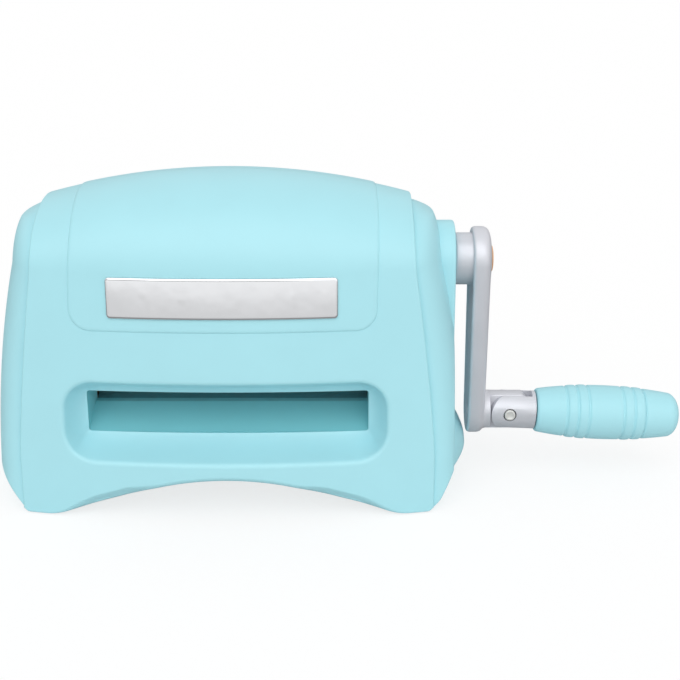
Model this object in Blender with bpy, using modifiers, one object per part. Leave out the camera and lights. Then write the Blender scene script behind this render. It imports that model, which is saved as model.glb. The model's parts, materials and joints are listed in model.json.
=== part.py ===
"""A hand cranked roller press for craft dies, modelled as the pieces it comes apart into.

Lengths are in metres. X runs along the rollers towards the crank, Y away from the front, Z up.
Everything is laid out about the middle of the casing, standing on its feet. One empty then moves
the whole machine, so that the world's origin lies on the table under the middle of its box.
"""
import math

import bmesh
import bpy
from mathutils import Matrix

MM = 0.001

# Fits that every piece shares
GAP = 0.3 * MM
OVERRUN = 6.0 * MM
SCREW_FIT = 0.3 * MM

# Casing: two covers that meet along the crest, their half depth and how it changes with height
DOME_RISE = 45.6 * MM
CREST_RADIUS = 378.0 * MM
DOME_MARGIN = 4.3 * MM
SEAM_MARGIN = 14.85 * MM
SEAM_SPREAD = 11.2 * MM
SEAM_CROWN = 2.1 * MM
SEAM_FLARE_END = 30.0 * MM
DEPTH_AT_DOME = 46.0 * MM
DEPTH_AT_BASE = 54.0 * MM
PLAN_RADIUS = 528.0 * MM
PLAN_REACH = 106.0 * MM
WALL = 3.0 * MM

# Raised middle panel of each cover
PANEL_MARGIN = 20.9 * MM
PANEL_FOOT = 7.8 * MM
PANEL_CORNER = 11.0 * MM
PANEL_RAISE = 0.8 * MM
PANEL_ROOT = 1.2 * MM

# Feed slot: the flared mouth on the cover's face and the throat behind it. All widths follow
# from the throat, so that the machine can be made for wider or narrower plates.
SLOT_BOTTOM = 31.9 * MM
SLOT_TOP = 76.1 * MM
SLOT_CORNER = 16.5 * MM
THROAT_HALF = 76.6 * MM
SLOT_SPREAD = 10.05 * MM
THROAT_BOTTOM = 41.8 * MM
THROAT_TOP = 66.0 * MM
THROAT_CORNER = 1.6 * MM
THROAT_Y = 39.5 * MM
LIP_WALL = 2.5 * MM
LIP_SINK = 1.5 * MM
SLOT_CUT_SHARE = 0.15

# Underside: an arch between two feet, and a slanted corner outside each foot
ARCH_TOP = 23.4 * MM
ARCH_RADIUS = 153.0 * MM
ARCH_ROUND_HALF = 50.0 * MM
FOOT_WIDTH = 16.6 * MM
FOOT_MARGIN = 3.1 * MM
CORNER_MARGIN = 0.2 * MM
CORNER_Z = 17.0 * MM

# End caps: they tuck under the covers and round off to the machine's sides
END_FIT = 0.5 * MM
END_TUCK = 8.0 * MM
END_LEAD = 5.0 * MM
END_BASE_REACH = 18.3 * MM
END_DOME_REACH = 16.5 * MM
END_FLARE_START = 25.0 * MM
END_PLAN_POWER = 2.4
END_FLARE_POWER = 1.6
END_CROWN_POWER = 3.0
END_CROWN_SLOPE = 0.5

# Flat side of the right end cap, its boss round the crank shaft and the bulge below
BOSS_RADIUS = 21.5 * MM
FLAT_REACH = 6.0 * MM
BOSS_BOTTOM = 70.0 * MM
BULGE_RADIUS = 27.0 * MM
BULGE_RISE = 8.6 * MM
BULGE_Z = 22.0 * MM

# Name plate, left blank
PLATE_MARGIN = 20.6 * MM
PLATE_DROP = 0.1 * MM
PLATE_HEIGHT = 22.4 * MM
PLATE_THICKNESS = 1.0 * MM

# Base plate, rubber feet and the screws that hold the frames down
BASE_THICKNESS = 3.0 * MM
FOOT_PAD_RADIUS = 5.0 * MM
FOOT_PAD_REVEAL = 0.6 * MM
FOOT_PAD_SINK = 1.5 * MM
FOOT_PAD_MARGIN = 11.1 * MM
FOOT_PAD_Y = 38.0 * MM
BASE_BOSS_RADIUS = 6.0 * MM
BASE_BOSS_TOP = 9.0 * MM
BASE_SCREW_REACH = 13.0 * MM
BASE_SCREW_Y = 17.0 * MM
BASE_SCREW_SEAT = 4.0 * MM
BASE_SCREW_LENGTH = 12.0 * MM

# Side frames, the tubes that space them and their screws
FRAME_MARGIN = 3.4 * MM
FRAME_THICKNESS = 4.0 * MM
FRAME_HALF = 34.0 * MM
FRAME_TOP_HALF = 30.0 * MM
FRAME_CROWN = 20.3 * MM
FRAME_SLOPE = 46.0 * MM
FRAME_CORNER = 9.0 * MM
FLANGE_REACH = 19.0 * MM
FLANGE_HALF = 30.0 * MM
TUBE_RADIUS = 4.5 * MM
UPPER_TUBE_Y = 23.0 * MM
UPPER_TUBE_DROP = 7.7 * MM
LOWER_TUBE_Y = 27.0 * MM
LOWER_TUBE_Z = 33.5 * MM
SCREW_RADIUS = 2.0 * MM
SCREW_HEAD_RADIUS = 4.0 * MM
SCREW_HEAD_HEIGHT = 2.4 * MM
TUBE_SCREW_LENGTH = 16.0 * MM

# Rollers, their bushes and clips
ROLLER_RADIUS = 12.5 * MM
ROLLER_OVERHANG = 0.8 * MM
NIP_DROP = 7.3 * MM
JOURNAL_RADIUS = 6.0 * MM
JOURNAL_FLAT = 4.6 * MM
BUSH_RADIUS = 9.0 * MM
BUSH_FLANGE_RADIUS = 11.0 * MM
BUSH_FLANGE = 1.5 * MM
BUSH_REVEAL = 0.5 * MM
CLIP_RADIUS = 9.0 * MM
CLIP_THICKNESS = 1.2 * MM
CLIP_GROOVE = 0.8 * MM
SHAFT_END = 1.6 * MM

# Gears
GEAR_MODULE = 2.0 * MM
ADDENDUM_SHARE = 0.9
DEDENDUM_SHARE = 1.15
PRESSURE_ANGLE = math.radians(25.0)
TOOTH_THINNING = 0.2 * MM
GEAR_WIDTH = 8.0 * MM
GEAR_REACH = 4.0 * MM
PINION_TEETH = 13
DRIVE_TEETH = 39
SYNC_TEETH = 19

# Crank: shaft, arm and the cap over its screw
SHAFT_RADIUS = 5.0 * MM
SHAFT_FLAT = 3.9 * MM
SHAFT_HEAD_RADIUS = 7.5 * MM
SHAFT_HEAD_LENGTH = 5.0 * MM
SHAFT_ENTRY = 5.0 * MM
SHAFT_BUSH_RADIUS = 8.0 * MM
SHAFT_BUSH_FLANGE_RADIUS = 10.0 * MM
SOCKET_WALL = 3.0 * MM
SOCKET_DEPTH = 12.0 * MM
ARM_CLEARANCE = 10.0 * MM
ARM_THICKNESS = 11.0 * MM
ARM_LENGTH = 89.7 * MM
ARM_TOP_RADIUS = 18.0 * MM
ARM_FOOT_RADIUS = 13.5 * MM
ARM_RIM = 2.6 * MM
ARM_WEB = 3.0 * MM
HUB_RADIUS = 14.5 * MM
CRANK_SCREW_LENGTH = 13.0 * MM
CAP_RADIUS = 7.2 * MM
CAP_HEIGHT = 1.0 * MM
CAP_SEAT_RADIUS = 6.0 * MM
CAP_SEAT_DEPTH = 3.6 * MM
CAP_PLUG = 1.2 * MM

# Fold knuckle between the arm and the grip
KNUCKLE_RADIUS = 11.0 * MM
KNUCKLE_BLOCK = 2.4 * MM
PIN_OFFSET = 13.3 * MM
PIN_RADIUS = 3.0 * MM
PIN_REVEAL = 0.3 * MM
TONGUE_THICKNESS = 9.4 * MM
TONGUE_HALF_HEIGHT = 10.2 * MM
TONGUE_REACH = 12.6 * MM
EAR_RADIUS = 10.5 * MM
CLEVIS_GAP = 10.0 * MM
WEB_START = 13.1 * MM
CLEVIS_END = 15.0 * MM
GRIP_DROOP = math.radians(2.3)

# Grip, its spindle and its end cap
GRIP_START = 15.6 * MM
GRIP_START_RADIUS = 12.4 * MM
GRIP_BELLY = 53.7 * MM
GRIP_BELLY_RADIUS = 15.65 * MM
GRIP_END = 98.7 * MM
GRIP_END_RADIUS = 11.6 * MM
GRIP_NOSE = 7.0 * MM
GROOVE_DEPTH = 0.5 * MM
GROOVE_HALF = 0.9 * MM
FIRST_GROOVES = 32.5 * MM
LAST_GROOVES = 64.8 * MM
GROOVE_PITCH = 6.2 * MM
GROOVES_IN_A_GROUP = 3
STUB_RADIUS = 8.0 * MM
STUB_LENGTH = 9.0 * MM
SPINDLE_RADIUS = 4.0 * MM
SPINDLE_HEAD_RADIUS = 7.0 * MM
SPINDLE_HEAD = 4.0 * MM

# Feed guides: a floor that climbs from the throat to the rollers, under a flat ceiling
GUIDE_WALL = 1.5 * MM
GUIDE_DROP = 0.7 * MM
GUIDE_RAMP_END_Y = 17.8 * MM
GUIDE_END_Y = 12.8 * MM

# Fineness of the faceted shapes
COVER_COLUMNS = 14
DOME_STEP = 15
ROUND_STEPS = 24
SMALL_STEPS = 12
CORNER_STEPS = 3

# Worked out from the sizes above
SLOT_HALF = THROAT_HALF + SLOT_SPREAD
SEAM_TOP_X = SLOT_HALF + SEAM_MARGIN
SEAM_BASE_X = SEAM_TOP_X + SEAM_SPREAD
PANEL_HALF = SEAM_TOP_X - PANEL_MARGIN
PLATE_HALF = PANEL_HALF - PLATE_MARGIN
END_STEP = WALL + END_FIT
END_SIDE_BASE_X = SEAM_BASE_X + END_BASE_REACH
END_SIDE_DOME_X = SEAM_TOP_X + END_DOME_REACH
FOOT_OUTER_X = SEAM_BASE_X - FOOT_MARGIN
FOOT_INNER_X = FOOT_OUTER_X - FOOT_WIDTH
FOOT_PAD_X = FOOT_OUTER_X - FOOT_PAD_MARGIN
CORNER_X = END_SIDE_BASE_X - CORNER_MARGIN
BOSS_FACE_X = END_SIDE_DOME_X + FLAT_REACH
ROLLER_HALF = THROAT_HALF + ROLLER_OVERHANG
FRAME_INNER_X = THROAT_HALF + FRAME_MARGIN
FRAME_OUTER_X = FRAME_INNER_X + FRAME_THICKNESS
FLANGE_OUTER_X = FRAME_OUTER_X + FLANGE_REACH
BASE_SCREW_X = FRAME_OUTER_X + BASE_SCREW_REACH
GEAR_START_X = FRAME_OUTER_X + GEAR_REACH
GEAR_END_X = GEAR_START_X + GEAR_WIDTH
UPPER_ROLLER_Z = THROAT_TOP - NIP_DROP + GEAR_MODULE * SYNC_TEETH / 2
LOWER_ROLLER_Z = UPPER_ROLLER_Z - GEAR_MODULE * SYNC_TEETH
GUIDE_FLOOR = LOWER_ROLLER_Z + ROLLER_RADIUS - GUIDE_DROP
CRANK_Z = UPPER_ROLLER_Z + GEAR_MODULE * (PINION_TEETH + DRIVE_TEETH) / 2
UPPER_TUBE_Z = CRANK_Z - UPPER_TUBE_DROP
FRAME_TOP = CRANK_Z + FRAME_CROWN
FRAME_SHOULDER = FRAME_TOP - FRAME_SLOPE
DOME_BASE = CRANK_Z + DOME_MARGIN
BODY_TOP = DOME_BASE + DOME_RISE
PLATE_TOP = DOME_BASE - PLATE_DROP
PLATE_BOTTOM = PLATE_TOP - PLATE_HEIGHT
PANEL_BOTTOM = PLATE_BOTTOM - PANEL_FOOT
SHAFT_INNER_X = FRAME_INNER_X - SHAFT_HEAD_LENGTH
ARM_INNER_X = BOSS_FACE_X + ARM_CLEARANCE
SHAFT_TIP_X = ARM_INNER_X + SHAFT_ENTRY
FRAME_BOTTOM = BASE_BOSS_TOP + GAP
ARM_OUTER_X = ARM_INNER_X + ARM_THICKNESS
PIN_X = ARM_OUTER_X + PIN_OFFSET
GRIP_SPLIT = LAST_GROOVES + GROOVE_PITCH * (GROOVES_IN_A_GROUP - 1)
GRIP_REACH = PIN_X + GRIP_END * math.cos(GRIP_DROOP)
BODY_SHIFT_X = (END_SIDE_BASE_X - GRIP_REACH) / 2

TURN_TO_X = (math.pi / 2, 0, math.pi / 2)
TURN_TO_Y = (math.pi / 2, 0, 0)
HALF_TURN = (0, 0, math.pi)


# Scene, materials and helpers
def clear_scene():
    for old in list(bpy.data.objects):
        bpy.data.objects.remove(old)


def make_collection(name):
    collection = bpy.data.collections.new(name)
    bpy.context.scene.collection.children.link(collection)
    return collection


def make_material(name, colour, roughness, metallic=0.0):
    material = bpy.data.materials.new(name)
    material.use_nodes = True
    shader = material.node_tree.nodes["Principled BSDF"]
    shader.inputs["Base Color"].default_value = (*colour, 1.0)
    shader.inputs["Roughness"].default_value = roughness
    shader.inputs["Metallic"].default_value = metallic
    material.diffuse_color = (*colour, 1.0)
    return material


clear_scene()
PARTS = make_collection("die_cutting_machine")
CUTTERS = make_collection("cutters")

MINT = make_material("mint_plastic", (0.42, 0.78, 0.82), 0.45)
SILVER = make_material("silver_casting", (0.58, 0.60, 0.65), 0.4, 0.8)
STEEL = make_material("bright_steel", (0.62, 0.62, 0.62), 0.3, 1.0)
ZINC = make_material("zinc_plate", (0.50, 0.52, 0.55), 0.45, 0.9)
CHROME = make_material("chrome", (0.85, 0.86, 0.88), 0.08, 1.0)
BRASS = make_material("sintered_bronze", (0.55, 0.38, 0.16), 0.45, 0.9)
BLACK_GEAR = make_material("gear_steel", (0.12, 0.12, 0.13), 0.5, 0.6)
ORANGE = make_material("orange_plastic", (0.85, 0.42, 0.22), 0.45)
RUBBER = make_material("black_rubber", (0.03, 0.03, 0.03), 0.85)


def add_object(name, mesh, material, location=(0, 0, 0), rotation=(0, 0, 0), parent=None):
    """Put a mesh into the model as the node with this name."""
    mesh.name = name
    mesh.materials.clear()
    mesh.materials.append(material)
    obj = bpy.data.objects.new(name, mesh)
    obj.location = location
    obj.rotation_euler = rotation
    obj.parent = parent or MACHINE
    PARTS.objects.link(obj)
    return obj


def add_cutter(name, mesh, location=(0, 0, 0), rotation=(0, 0, 0), parent=None):
    """Keep a mesh only as the tool of a Boolean."""
    mesh.name = name
    obj = bpy.data.objects.new(name, mesh)
    obj.location = location
    obj.rotation_euler = rotation
    obj.parent = parent or MACHINE
    obj.hide_render = True
    obj.display_type = "WIRE"
    CUTTERS.objects.link(obj)
    return obj


def add_empty(name, location, rotation=(0, 0, 0), parent=None):
    empty = bpy.data.objects.new(name, None)
    empty.location = location
    empty.rotation_euler = rotation
    empty.parent = parent
    PARTS.objects.link(empty)
    return empty


def combine(target, tool, operation, solver="EXACT"):
    modifier = target.modifiers.new(f"{operation.lower()} {tool.name}", "BOOLEAN")
    modifier.operation = operation
    modifier.solver = solver
    modifier.object = tool


def cut(target, tool, solver="EXACT"):
    combine(target, tool, "DIFFERENCE", solver)


def join(target, tool, solver="EXACT"):
    combine(target, tool, "UNION", solver)


def solidify_inwards(obj, thickness):
    modifier = obj.modifiers.new("wall", "SOLIDIFY")
    modifier.thickness = thickness
    modifier.offset = -1.0


def finished_mesh(obj):
    """The mesh with its modifiers done, welded, in the object's own frame."""
    graph = bpy.context.evaluated_depsgraph_get()
    mesh = bpy.data.meshes.new_from_object(obj.evaluated_get(graph))
    work = bmesh.new()
    work.from_mesh(mesh)
    bmesh.ops.remove_doubles(work, verts=work.verts, dist=GAP / 1000)
    work.to_mesh(mesh)
    work.free()
    return mesh


def shade_round(mesh):
    mesh.shade_smooth()
    mesh.set_sharp_from_angle(angle=math.radians(35))
    return mesh


def mesh_from(work):
    bmesh.ops.recalc_face_normals(work, faces=work.faces)
    mesh = bpy.data.meshes.new("shape")
    work.to_mesh(mesh)
    work.free()
    return mesh


def block(low, high):
    """A box between two opposite corners."""
    work = bmesh.new()
    size = [high[axis] - low[axis] for axis in range(3)]
    middle = [(high[axis] + low[axis]) / 2 for axis in range(3)]
    matrix = Matrix.Translation(middle) @ Matrix.Diagonal((*size, 1.0))
    bmesh.ops.create_cube(work, size=1.0, matrix=matrix)
    return mesh_from(work)


def rod(radius, start, end, steps=SMALL_STEPS):
    """A cylinder along local Z between two heights."""
    work = bmesh.new()
    matrix = Matrix.Translation((0, 0, (start + end) / 2))
    bmesh.ops.create_cone(work, cap_ends=True, segments=steps, radius1=radius, radius2=radius,
                          depth=end - start, matrix=matrix)
    return shade_round(mesh_from(work))


def plate(outlines, start, end):
    """A flat plate from 2D outlines, the first one outside and the others holes, between two heights."""
    curve = bpy.data.curves.new("outline", "CURVE")
    curve.dimensions = "2D"
    curve.fill_mode = "BOTH"
    curve.extrude = (end - start) / 2
    for outline in outlines:
        spline = curve.splines.new("POLY")
        spline.points.add(len(outline) - 1)
        for point, (across, along) in zip(spline.points, outline):
            point.co = (across, along, 0, 1)
        spline.use_cyclic_u = True
    guide = bpy.data.objects.new("outline", curve)
    PARTS.objects.link(guide)
    mesh = finished_mesh(guide)
    bpy.data.objects.remove(guide)
    mesh.transform(Matrix.Translation((0, 0, (start + end) / 2)))
    return mesh


def turned(profile, steps=ROUND_STEPS, ring=False):
    """A turned shape about local Z. The profile of (radius, height) runs down its outer side."""
    work = bmesh.new()
    verts = [work.verts.new((radius, 0, height)) for radius, height in profile]
    for first, second in zip(verts, verts[1:]):
        work.edges.new((first, second))
    if ring:
        work.edges.new((verts[-1], verts[0]))
    mesh = bpy.data.meshes.new("profile")
    work.to_mesh(mesh)
    work.free()
    guide = bpy.data.objects.new("profile", mesh)
    PARTS.objects.link(guide)
    modifier = guide.modifiers.new("turn", "SCREW")
    modifier.steps = steps
    modifier.render_steps = steps
    modifier.use_merge_vertices = True
    modifier.merge_threshold = GAP / 1000
    result = finished_mesh(guide)
    bpy.data.objects.remove(guide)
    return shade_round(result)


def loft(loops, close_start=True, close_end=True):
    """Faces between closed loops that have equal numbers of points."""
    work = bmesh.new()
    rings = [[work.verts.new(point) for point in loop] for loop in loops]
    for lower, upper in zip(rings, rings[1:]):
        for index, corner in enumerate(lower):
            following = (index + 1) % len(lower)
            work.faces.new((corner, lower[following], upper[following], upper[index]))
    if close_start:
        work.faces.new(rings[0])
    if close_end:
        work.faces.new(rings[-1])
    bmesh.ops.remove_doubles(work, verts=work.verts, dist=GAP / 1000)
    return mesh_from(work)


def sheet(rows):
    """An open surface through rows that have equal numbers of points."""
    work = bmesh.new()
    grid = [[work.verts.new(point) for point in row] for row in rows]
    for lower, upper in zip(grid, grid[1:]):
        for index in range(len(lower) - 1):
            work.faces.new((lower[index], lower[index + 1], upper[index + 1], upper[index]))
    mesh = bpy.data.meshes.new("sheet")
    work.to_mesh(mesh)
    work.free()
    return shade_round(mesh)


# Outlines
def arc(centre, radius, start_angle, end_angle, steps):
    points = []
    for step in range(steps + 1):
        angle = math.radians(start_angle + (end_angle - start_angle) * step / steps)
        points.append((centre[0] + radius * math.cos(angle), centre[1] + radius * math.sin(angle)))
    return points


def circle(centre, radius, steps=SMALL_STEPS):
    return arc(centre, radius, 0, 360, steps)[:-1]


def rounded_box(half, bottom, top, radius, steps=CORNER_STEPS, straight_steps=1):
    """A rectangle about the middle line with round corners, as (across, up) points."""
    inner = half - radius
    points = []
    for side, height, angle in ((1, bottom, -90), (-1, top, 90)):
        for step in range(1, straight_steps):
            points.append((side * inner * (2 * step / straight_steps - 1), height))
        low = (side * inner, height + side * radius)
        high = (side * inner, (top if side > 0 else bottom) - side * radius)
        points += arc(low, radius, angle, angle + 90, steps)
        points += arc(high, radius, angle + 90, angle + 180, steps)
    return points


def mirrored(half_outline):
    """Both sides of an outline whose points run from the middle line outwards."""
    return half_outline + [(-across, up) for across, up in reversed(half_outline) if across > GAP]


def corner_of(centre, radius, start_angle, steps=CORNER_STEPS):
    return arc(centre, radius, start_angle, start_angle + 90, steps)


# Surfaces of the casing
def seam_half_width(height):
    """Where the covers end and the end caps begin, at a height."""
    flare = (DOME_BASE - max(height, SEAM_FLARE_END)) / (DOME_BASE - SEAM_FLARE_END)
    return SEAM_TOP_X + (SEAM_BASE_X - SEAM_TOP_X) * max(flare, 0)


def plan_bulge(across):
    """How much deeper the casing is here than at the reach where its half depths are given."""
    return math.sqrt(PLAN_RADIUS ** 2 - across ** 2) - math.sqrt(PLAN_RADIUS ** 2 - PLAN_REACH ** 2)


def half_depth(across, height):
    """From the middle plane to the face, for heights below the dome."""
    up = min(height, DOME_BASE) / DOME_BASE
    return DEPTH_AT_BASE + (DEPTH_AT_DOME - DEPTH_AT_BASE) * up + plan_bulge(across)


def crest_height(across):
    return BODY_TOP - CREST_RADIUS + math.sqrt(CREST_RADIUS ** 2 - across ** 2)


def dome_point(across, angle, raised=0.0):
    """A point of the dome over the front face, from 0 degrees at its foot to 90 at the crest."""
    turn = math.radians(angle)
    depth = half_depth(across, DOME_BASE) + raised
    rise = crest_height(across) + raised - DOME_BASE
    return (across, -depth * math.cos(turn), DOME_BASE + rise * math.sin(turn))


def dome_angles():
    """Steps over the dome, ending one step past the crest."""
    return range(DOME_STEP, 90 + 2 * DOME_STEP, DOME_STEP)


def underside(lift=0.0):
    """The outline of everything below the machine, in the X and Z plane, raised by a lift."""
    half = []
    for step in range(2 * CORNER_STEPS + 1):
        across = ARCH_ROUND_HALF * step / (2 * CORNER_STEPS)
        half.append((across, ARCH_TOP - ARCH_RADIUS + math.sqrt(ARCH_RADIUS ** 2 - across ** 2)))
    half.append((FOOT_INNER_X, 0))
    half.append((FOOT_OUTER_X, 0))
    slope = CORNER_Z / (CORNER_X - FOOT_OUTER_X)
    outside = CORNER_X + OVERRUN
    half.append((outside, (outside - FOOT_OUTER_X) * slope))
    half.append((outside, -2 * OVERRUN))
    return [(across, up + lift) for across, up in mirrored(half)]


def arch_height(across):
    """Height of the underside between the outer edges of the feet."""
    across = abs(across)
    shoulder = ARCH_TOP - ARCH_RADIUS + math.sqrt(ARCH_RADIUS ** 2 - ARCH_ROUND_HALF ** 2)
    if across <= ARCH_ROUND_HALF:
        return ARCH_TOP - ARCH_RADIUS + math.sqrt(ARCH_RADIUS ** 2 - across ** 2)
    run = (across - ARCH_ROUND_HALF) / (FOOT_INNER_X - ARCH_ROUND_HALF)
    return max(shoulder * (1 - run), 0)


def underside_cutter(name, lift=0.0):
    reach = DEPTH_AT_BASE + 3 * OVERRUN
    return add_cutter(name, plate([underside(lift)], -reach, reach), rotation=TURN_TO_Y)


# Covers
def cover_skin():
    """Outer face of the front cover, from below its feet to past the crest."""
    shares = [2 * column / COVER_COLUMNS - 1 for column in range(COVER_COLUMNS + 1)]
    heights = [-OVERRUN, SEAM_FLARE_END, (SEAM_FLARE_END + DOME_BASE) / 2, DOME_BASE]
    rows = []
    for height in heights:
        columns = [share * seam_half_width(height) for share in shares]
        rows.append([(across, -half_depth(across, height), height) for across in columns])
    for angle in dome_angles():
        half = SEAM_TOP_X - SEAM_CROWN * (1 - max(1 - angle / 90, 0) ** 3)
        rows.append([dome_point(share * half, angle) for share in shares])
    return sheet(rows)


def panel_skin():
    """Outer face of the raised panel, whose two lower corners are round."""
    straight = PANEL_HALF - PANEL_CORNER
    middle = [straight * (2 * step / COVER_COLUMNS - 1) for step in range(COVER_COLUMNS + 1)]
    round_end = corner_of((straight, PANEL_BOTTOM + PANEL_CORNER), PANEL_CORNER, -90)
    foot = [(-across, up) for across, up in reversed(round_end[1:])]
    foot += [(across, PANEL_BOTTOM) for across in middle]
    foot += round_end[1:]
    rows = []
    for share in (0, 0.5, 1):
        row = []
        for across, bottom in foot:
            height = bottom + (DOME_BASE - bottom) * share
            row.append((across, -half_depth(across, height) - PANEL_RAISE, height))
        rows.append(row)
    for angle in dome_angles():
        rows.append([dome_point(across, angle, PANEL_RAISE) for across, bottom in foot])
    return sheet(rows)


def slot_ring(share, grow=0.0, sink=0.0, flatten=False):
    """An outline of the flared slot: 0 is the throat, 1 the cover's face, past 1 is outside.

    Flattened, its points close up onto the slot's middle line, which caps the end of a loft.
    """
    half = THROAT_HALF + (SLOT_HALF - THROAT_HALF) * share + grow
    bottom = THROAT_BOTTOM + (SLOT_BOTTOM - THROAT_BOTTOM) * share - grow
    top = THROAT_TOP + (SLOT_TOP - THROAT_TOP) * share + grow
    corner = THROAT_CORNER + (SLOT_CORNER - THROAT_CORNER) * max(share, 0) + grow
    ring = []
    for across, up in rounded_box(half, bottom, top, corner, straight_steps=COVER_COLUMNS // 2):
        height = (bottom + top) / 2 if flatten else up
        face = half_depth(across, height) - sink
        ring.append((across, -THROAT_Y - (face - THROAT_Y) * share, height))
    return ring


def slot_body(start, end, grow=0.0, sink=0.0):
    """The flared space between two shares of the slot's depth."""
    rings = [slot_ring(start, grow, flatten=True), slot_ring(start, grow)]
    rings += [slot_ring(end, grow, sink), slot_ring(end, grow, sink, flatten=True)]
    return loft(rings, close_start=False, close_end=False)


def make_cover_mesh():
    """One cover, built as the front one. The rear one is the same, turned round."""
    cover = add_object("cover_blank", cover_skin(), MINT)
    solidify_inwards(cover, WALL)
    panel = add_cutter("cover_panel", panel_skin())
    solidify_inwards(panel, PANEL_RAISE + PANEL_ROOT)
    join(cover, panel, "MANIFOLD")
    join(cover, add_cutter("slot_lip", slot_body(0, 1, LIP_WALL, LIP_SINK)), "MANIFOLD")
    opening = slot_body(-SLOT_CUT_SHARE, 1 + SLOT_CUT_SHARE)
    cut(cover, add_cutter("slot_opening", opening), "MANIFOLD")
    cut(cover, underside_cutter("cover_underside"), "MANIFOLD")
    reach = SEAM_BASE_X + OVERRUN
    beyond = block((-reach, -GAP / 2, DOME_BASE / 2), (reach, DEPTH_AT_BASE, BODY_TOP + OVERRUN))
    cut(cover, add_cutter("crest_plane", beyond), "MANIFOLD")
    mesh = finished_mesh(cover)
    bpy.data.objects.remove(cover)
    return shade_round(mesh)


def make_covers():
    mesh = make_cover_mesh()
    add_object("front_cover", mesh, MINT)
    add_object("rear_cover", mesh.copy(), MINT, rotation=HALF_TURN)


def make_name_plate():
    """A thin plate bent to the panel, lying just off its face."""
    stand_off = PANEL_RAISE + GAP + PLATE_THICKNESS
    rows = []
    for height in (PLATE_BOTTOM, PLATE_TOP):
        columns = [PLATE_HALF * (2 * step / COVER_COLUMNS - 1) for step in range(COVER_COLUMNS + 1)]
        rows.append([(across, -half_depth(across, height) - stand_off, height) for across in columns])
    name_plate = add_object("name_plate", sheet(rows), CHROME)
    solidify_inwards(name_plate, PLATE_THICKNESS)


# End caps
def end_side(height):
    """How far out the end cap's side is at a height."""
    if height <= DOME_BASE:
        climb = max(height - END_FLARE_START, 0) / (DOME_BASE - END_FLARE_START)
        return END_SIDE_BASE_X - (END_SIDE_BASE_X - END_SIDE_DOME_X) * climb ** END_FLARE_POWER
    climb = (height - DOME_BASE) / end_crown_rise()
    round_off = max(1 - climb ** END_CROWN_POWER, 0) ** (1 / END_CROWN_POWER)
    side = SEAM_TOP_X + (END_SIDE_DOME_X - SEAM_TOP_X) * round_off
    return min(side, SEAM_TOP_X + end_crown_rise() * (1 - climb) / END_CROWN_SLOPE)


def end_crown_rise():
    return crest_height(SEAM_TOP_X) - END_STEP - DOME_BASE


def end_section(height, shrink, inset, tuck):
    """Closed outline of the right end cap at a height, seen from above."""
    seam = seam_half_width(height)
    centre = seam - END_LEAD
    reach = max(end_side(height) - centre, END_LEAD / 2)
    lead = min(END_LEAD / reach, 0.98) ** END_PLAN_POWER
    seam_depth = half_depth(seam, height) - END_STEP
    depth = seam_depth * shrink / (1 - lead) ** (1 / END_PLAN_POWER) - inset
    quarter = [(seam - tuck, -depth)]
    for step in range(2 * CORNER_STEPS + 1):
        turn = math.radians(90 * step / (2 * CORNER_STEPS))
        out = (reach - inset) * math.sin(turn) ** (2 / END_PLAN_POWER)
        back = depth * max(math.cos(turn), 0) ** (2 / END_PLAN_POWER)
        quarter.append((centre + out, -back))
    quarter[-1] = (quarter[-1][0], 0)
    return [(x, y, height) for x, y in quarter + [(x, -y) for x, y in reversed(quarter[:-1])]]


def end_body(inset, tuck):
    """The right end cap as a solid, its faces drawn in by an inset, reaching in past the seam."""
    heights = [-OVERRUN, END_FLARE_START, (END_FLARE_START + DOME_BASE) / 2, DOME_BASE * 0.8, DOME_BASE]
    loops = [end_section(height, 1, inset, tuck) for height in heights]
    for angle in (15, 30, 45, 58, 70, 80):
        turn = math.radians(angle)
        loop = end_section(DOME_BASE + end_crown_rise() * math.sin(turn), math.cos(turn), inset, tuck)
        drop = inset * math.sin(turn)
        loops.append([(x, y, z - drop) for x, y, z in loop])
    return loft(loops)


def make_end_cap(name, rotation, on_crank_side):
    cap = add_object(name, end_body(0, END_TUCK), MINT, rotation=rotation)
    hollow = add_cutter(f"{name}_hollow", end_body(WALL, END_TUCK + OVERRUN), rotation=rotation)
    cut(hollow, underside_cutter(f"{name}_floor", WALL))
    if on_crank_side:
        boss = plate([boss_outline()], SEAM_TOP_X, BOSS_FACE_X + OVERRUN)
        join(cap, add_cutter("boss_block", boss, rotation=TURN_TO_X))
        cut(cap, add_cutter("flat_side", beyond_flat(0)))
        cut(hollow, add_cutter("flat_side_inside", beyond_flat(WALL)))
    cut(cap, hollow)
    if on_crank_side:
        join(cap, add_cutter("bulge", bulge_mesh(), (0, 0, BULGE_Z), TURN_TO_X))
    cut(cap, underside_cutter(f"{name}_underside"))
    if on_crank_side:
        bore_boss(cap)


def beyond_flat(inset):
    """All that lies outside the crank side's flat face."""
    reach = DEPTH_AT_BASE + OVERRUN
    low = (BOSS_FACE_X - inset, -reach, -2 * OVERRUN)
    return block(low, (END_SIDE_BASE_X + OVERRUN, reach, BODY_TOP))


def bulge_mesh():
    """A shallow dome that stands on the flat side near its foot."""
    profile = []
    for step in range(2 * CORNER_STEPS + 1):
        share = step / (2 * CORNER_STEPS)
        profile.append((BULGE_RADIUS * share, BOSS_FACE_X + BULGE_RISE * (1 - share ** 2)))
    root = BOSS_FACE_X - WALL / 2
    return turned(profile + [(BULGE_RADIUS, root), (0, root)], ROUND_STEPS)


def boss_outline(grow=0.0):
    """A pad with a round top about the crank shaft, as (Y, Z) points."""
    radius = BOSS_RADIUS + grow
    points = [(radius, BOSS_BOTTOM - grow)]
    points += arc((0, CRANK_Z), radius, 0, 180, 3 * CORNER_STEPS)
    points.append((-radius, BOSS_BOTTOM - grow))
    return points


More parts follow.
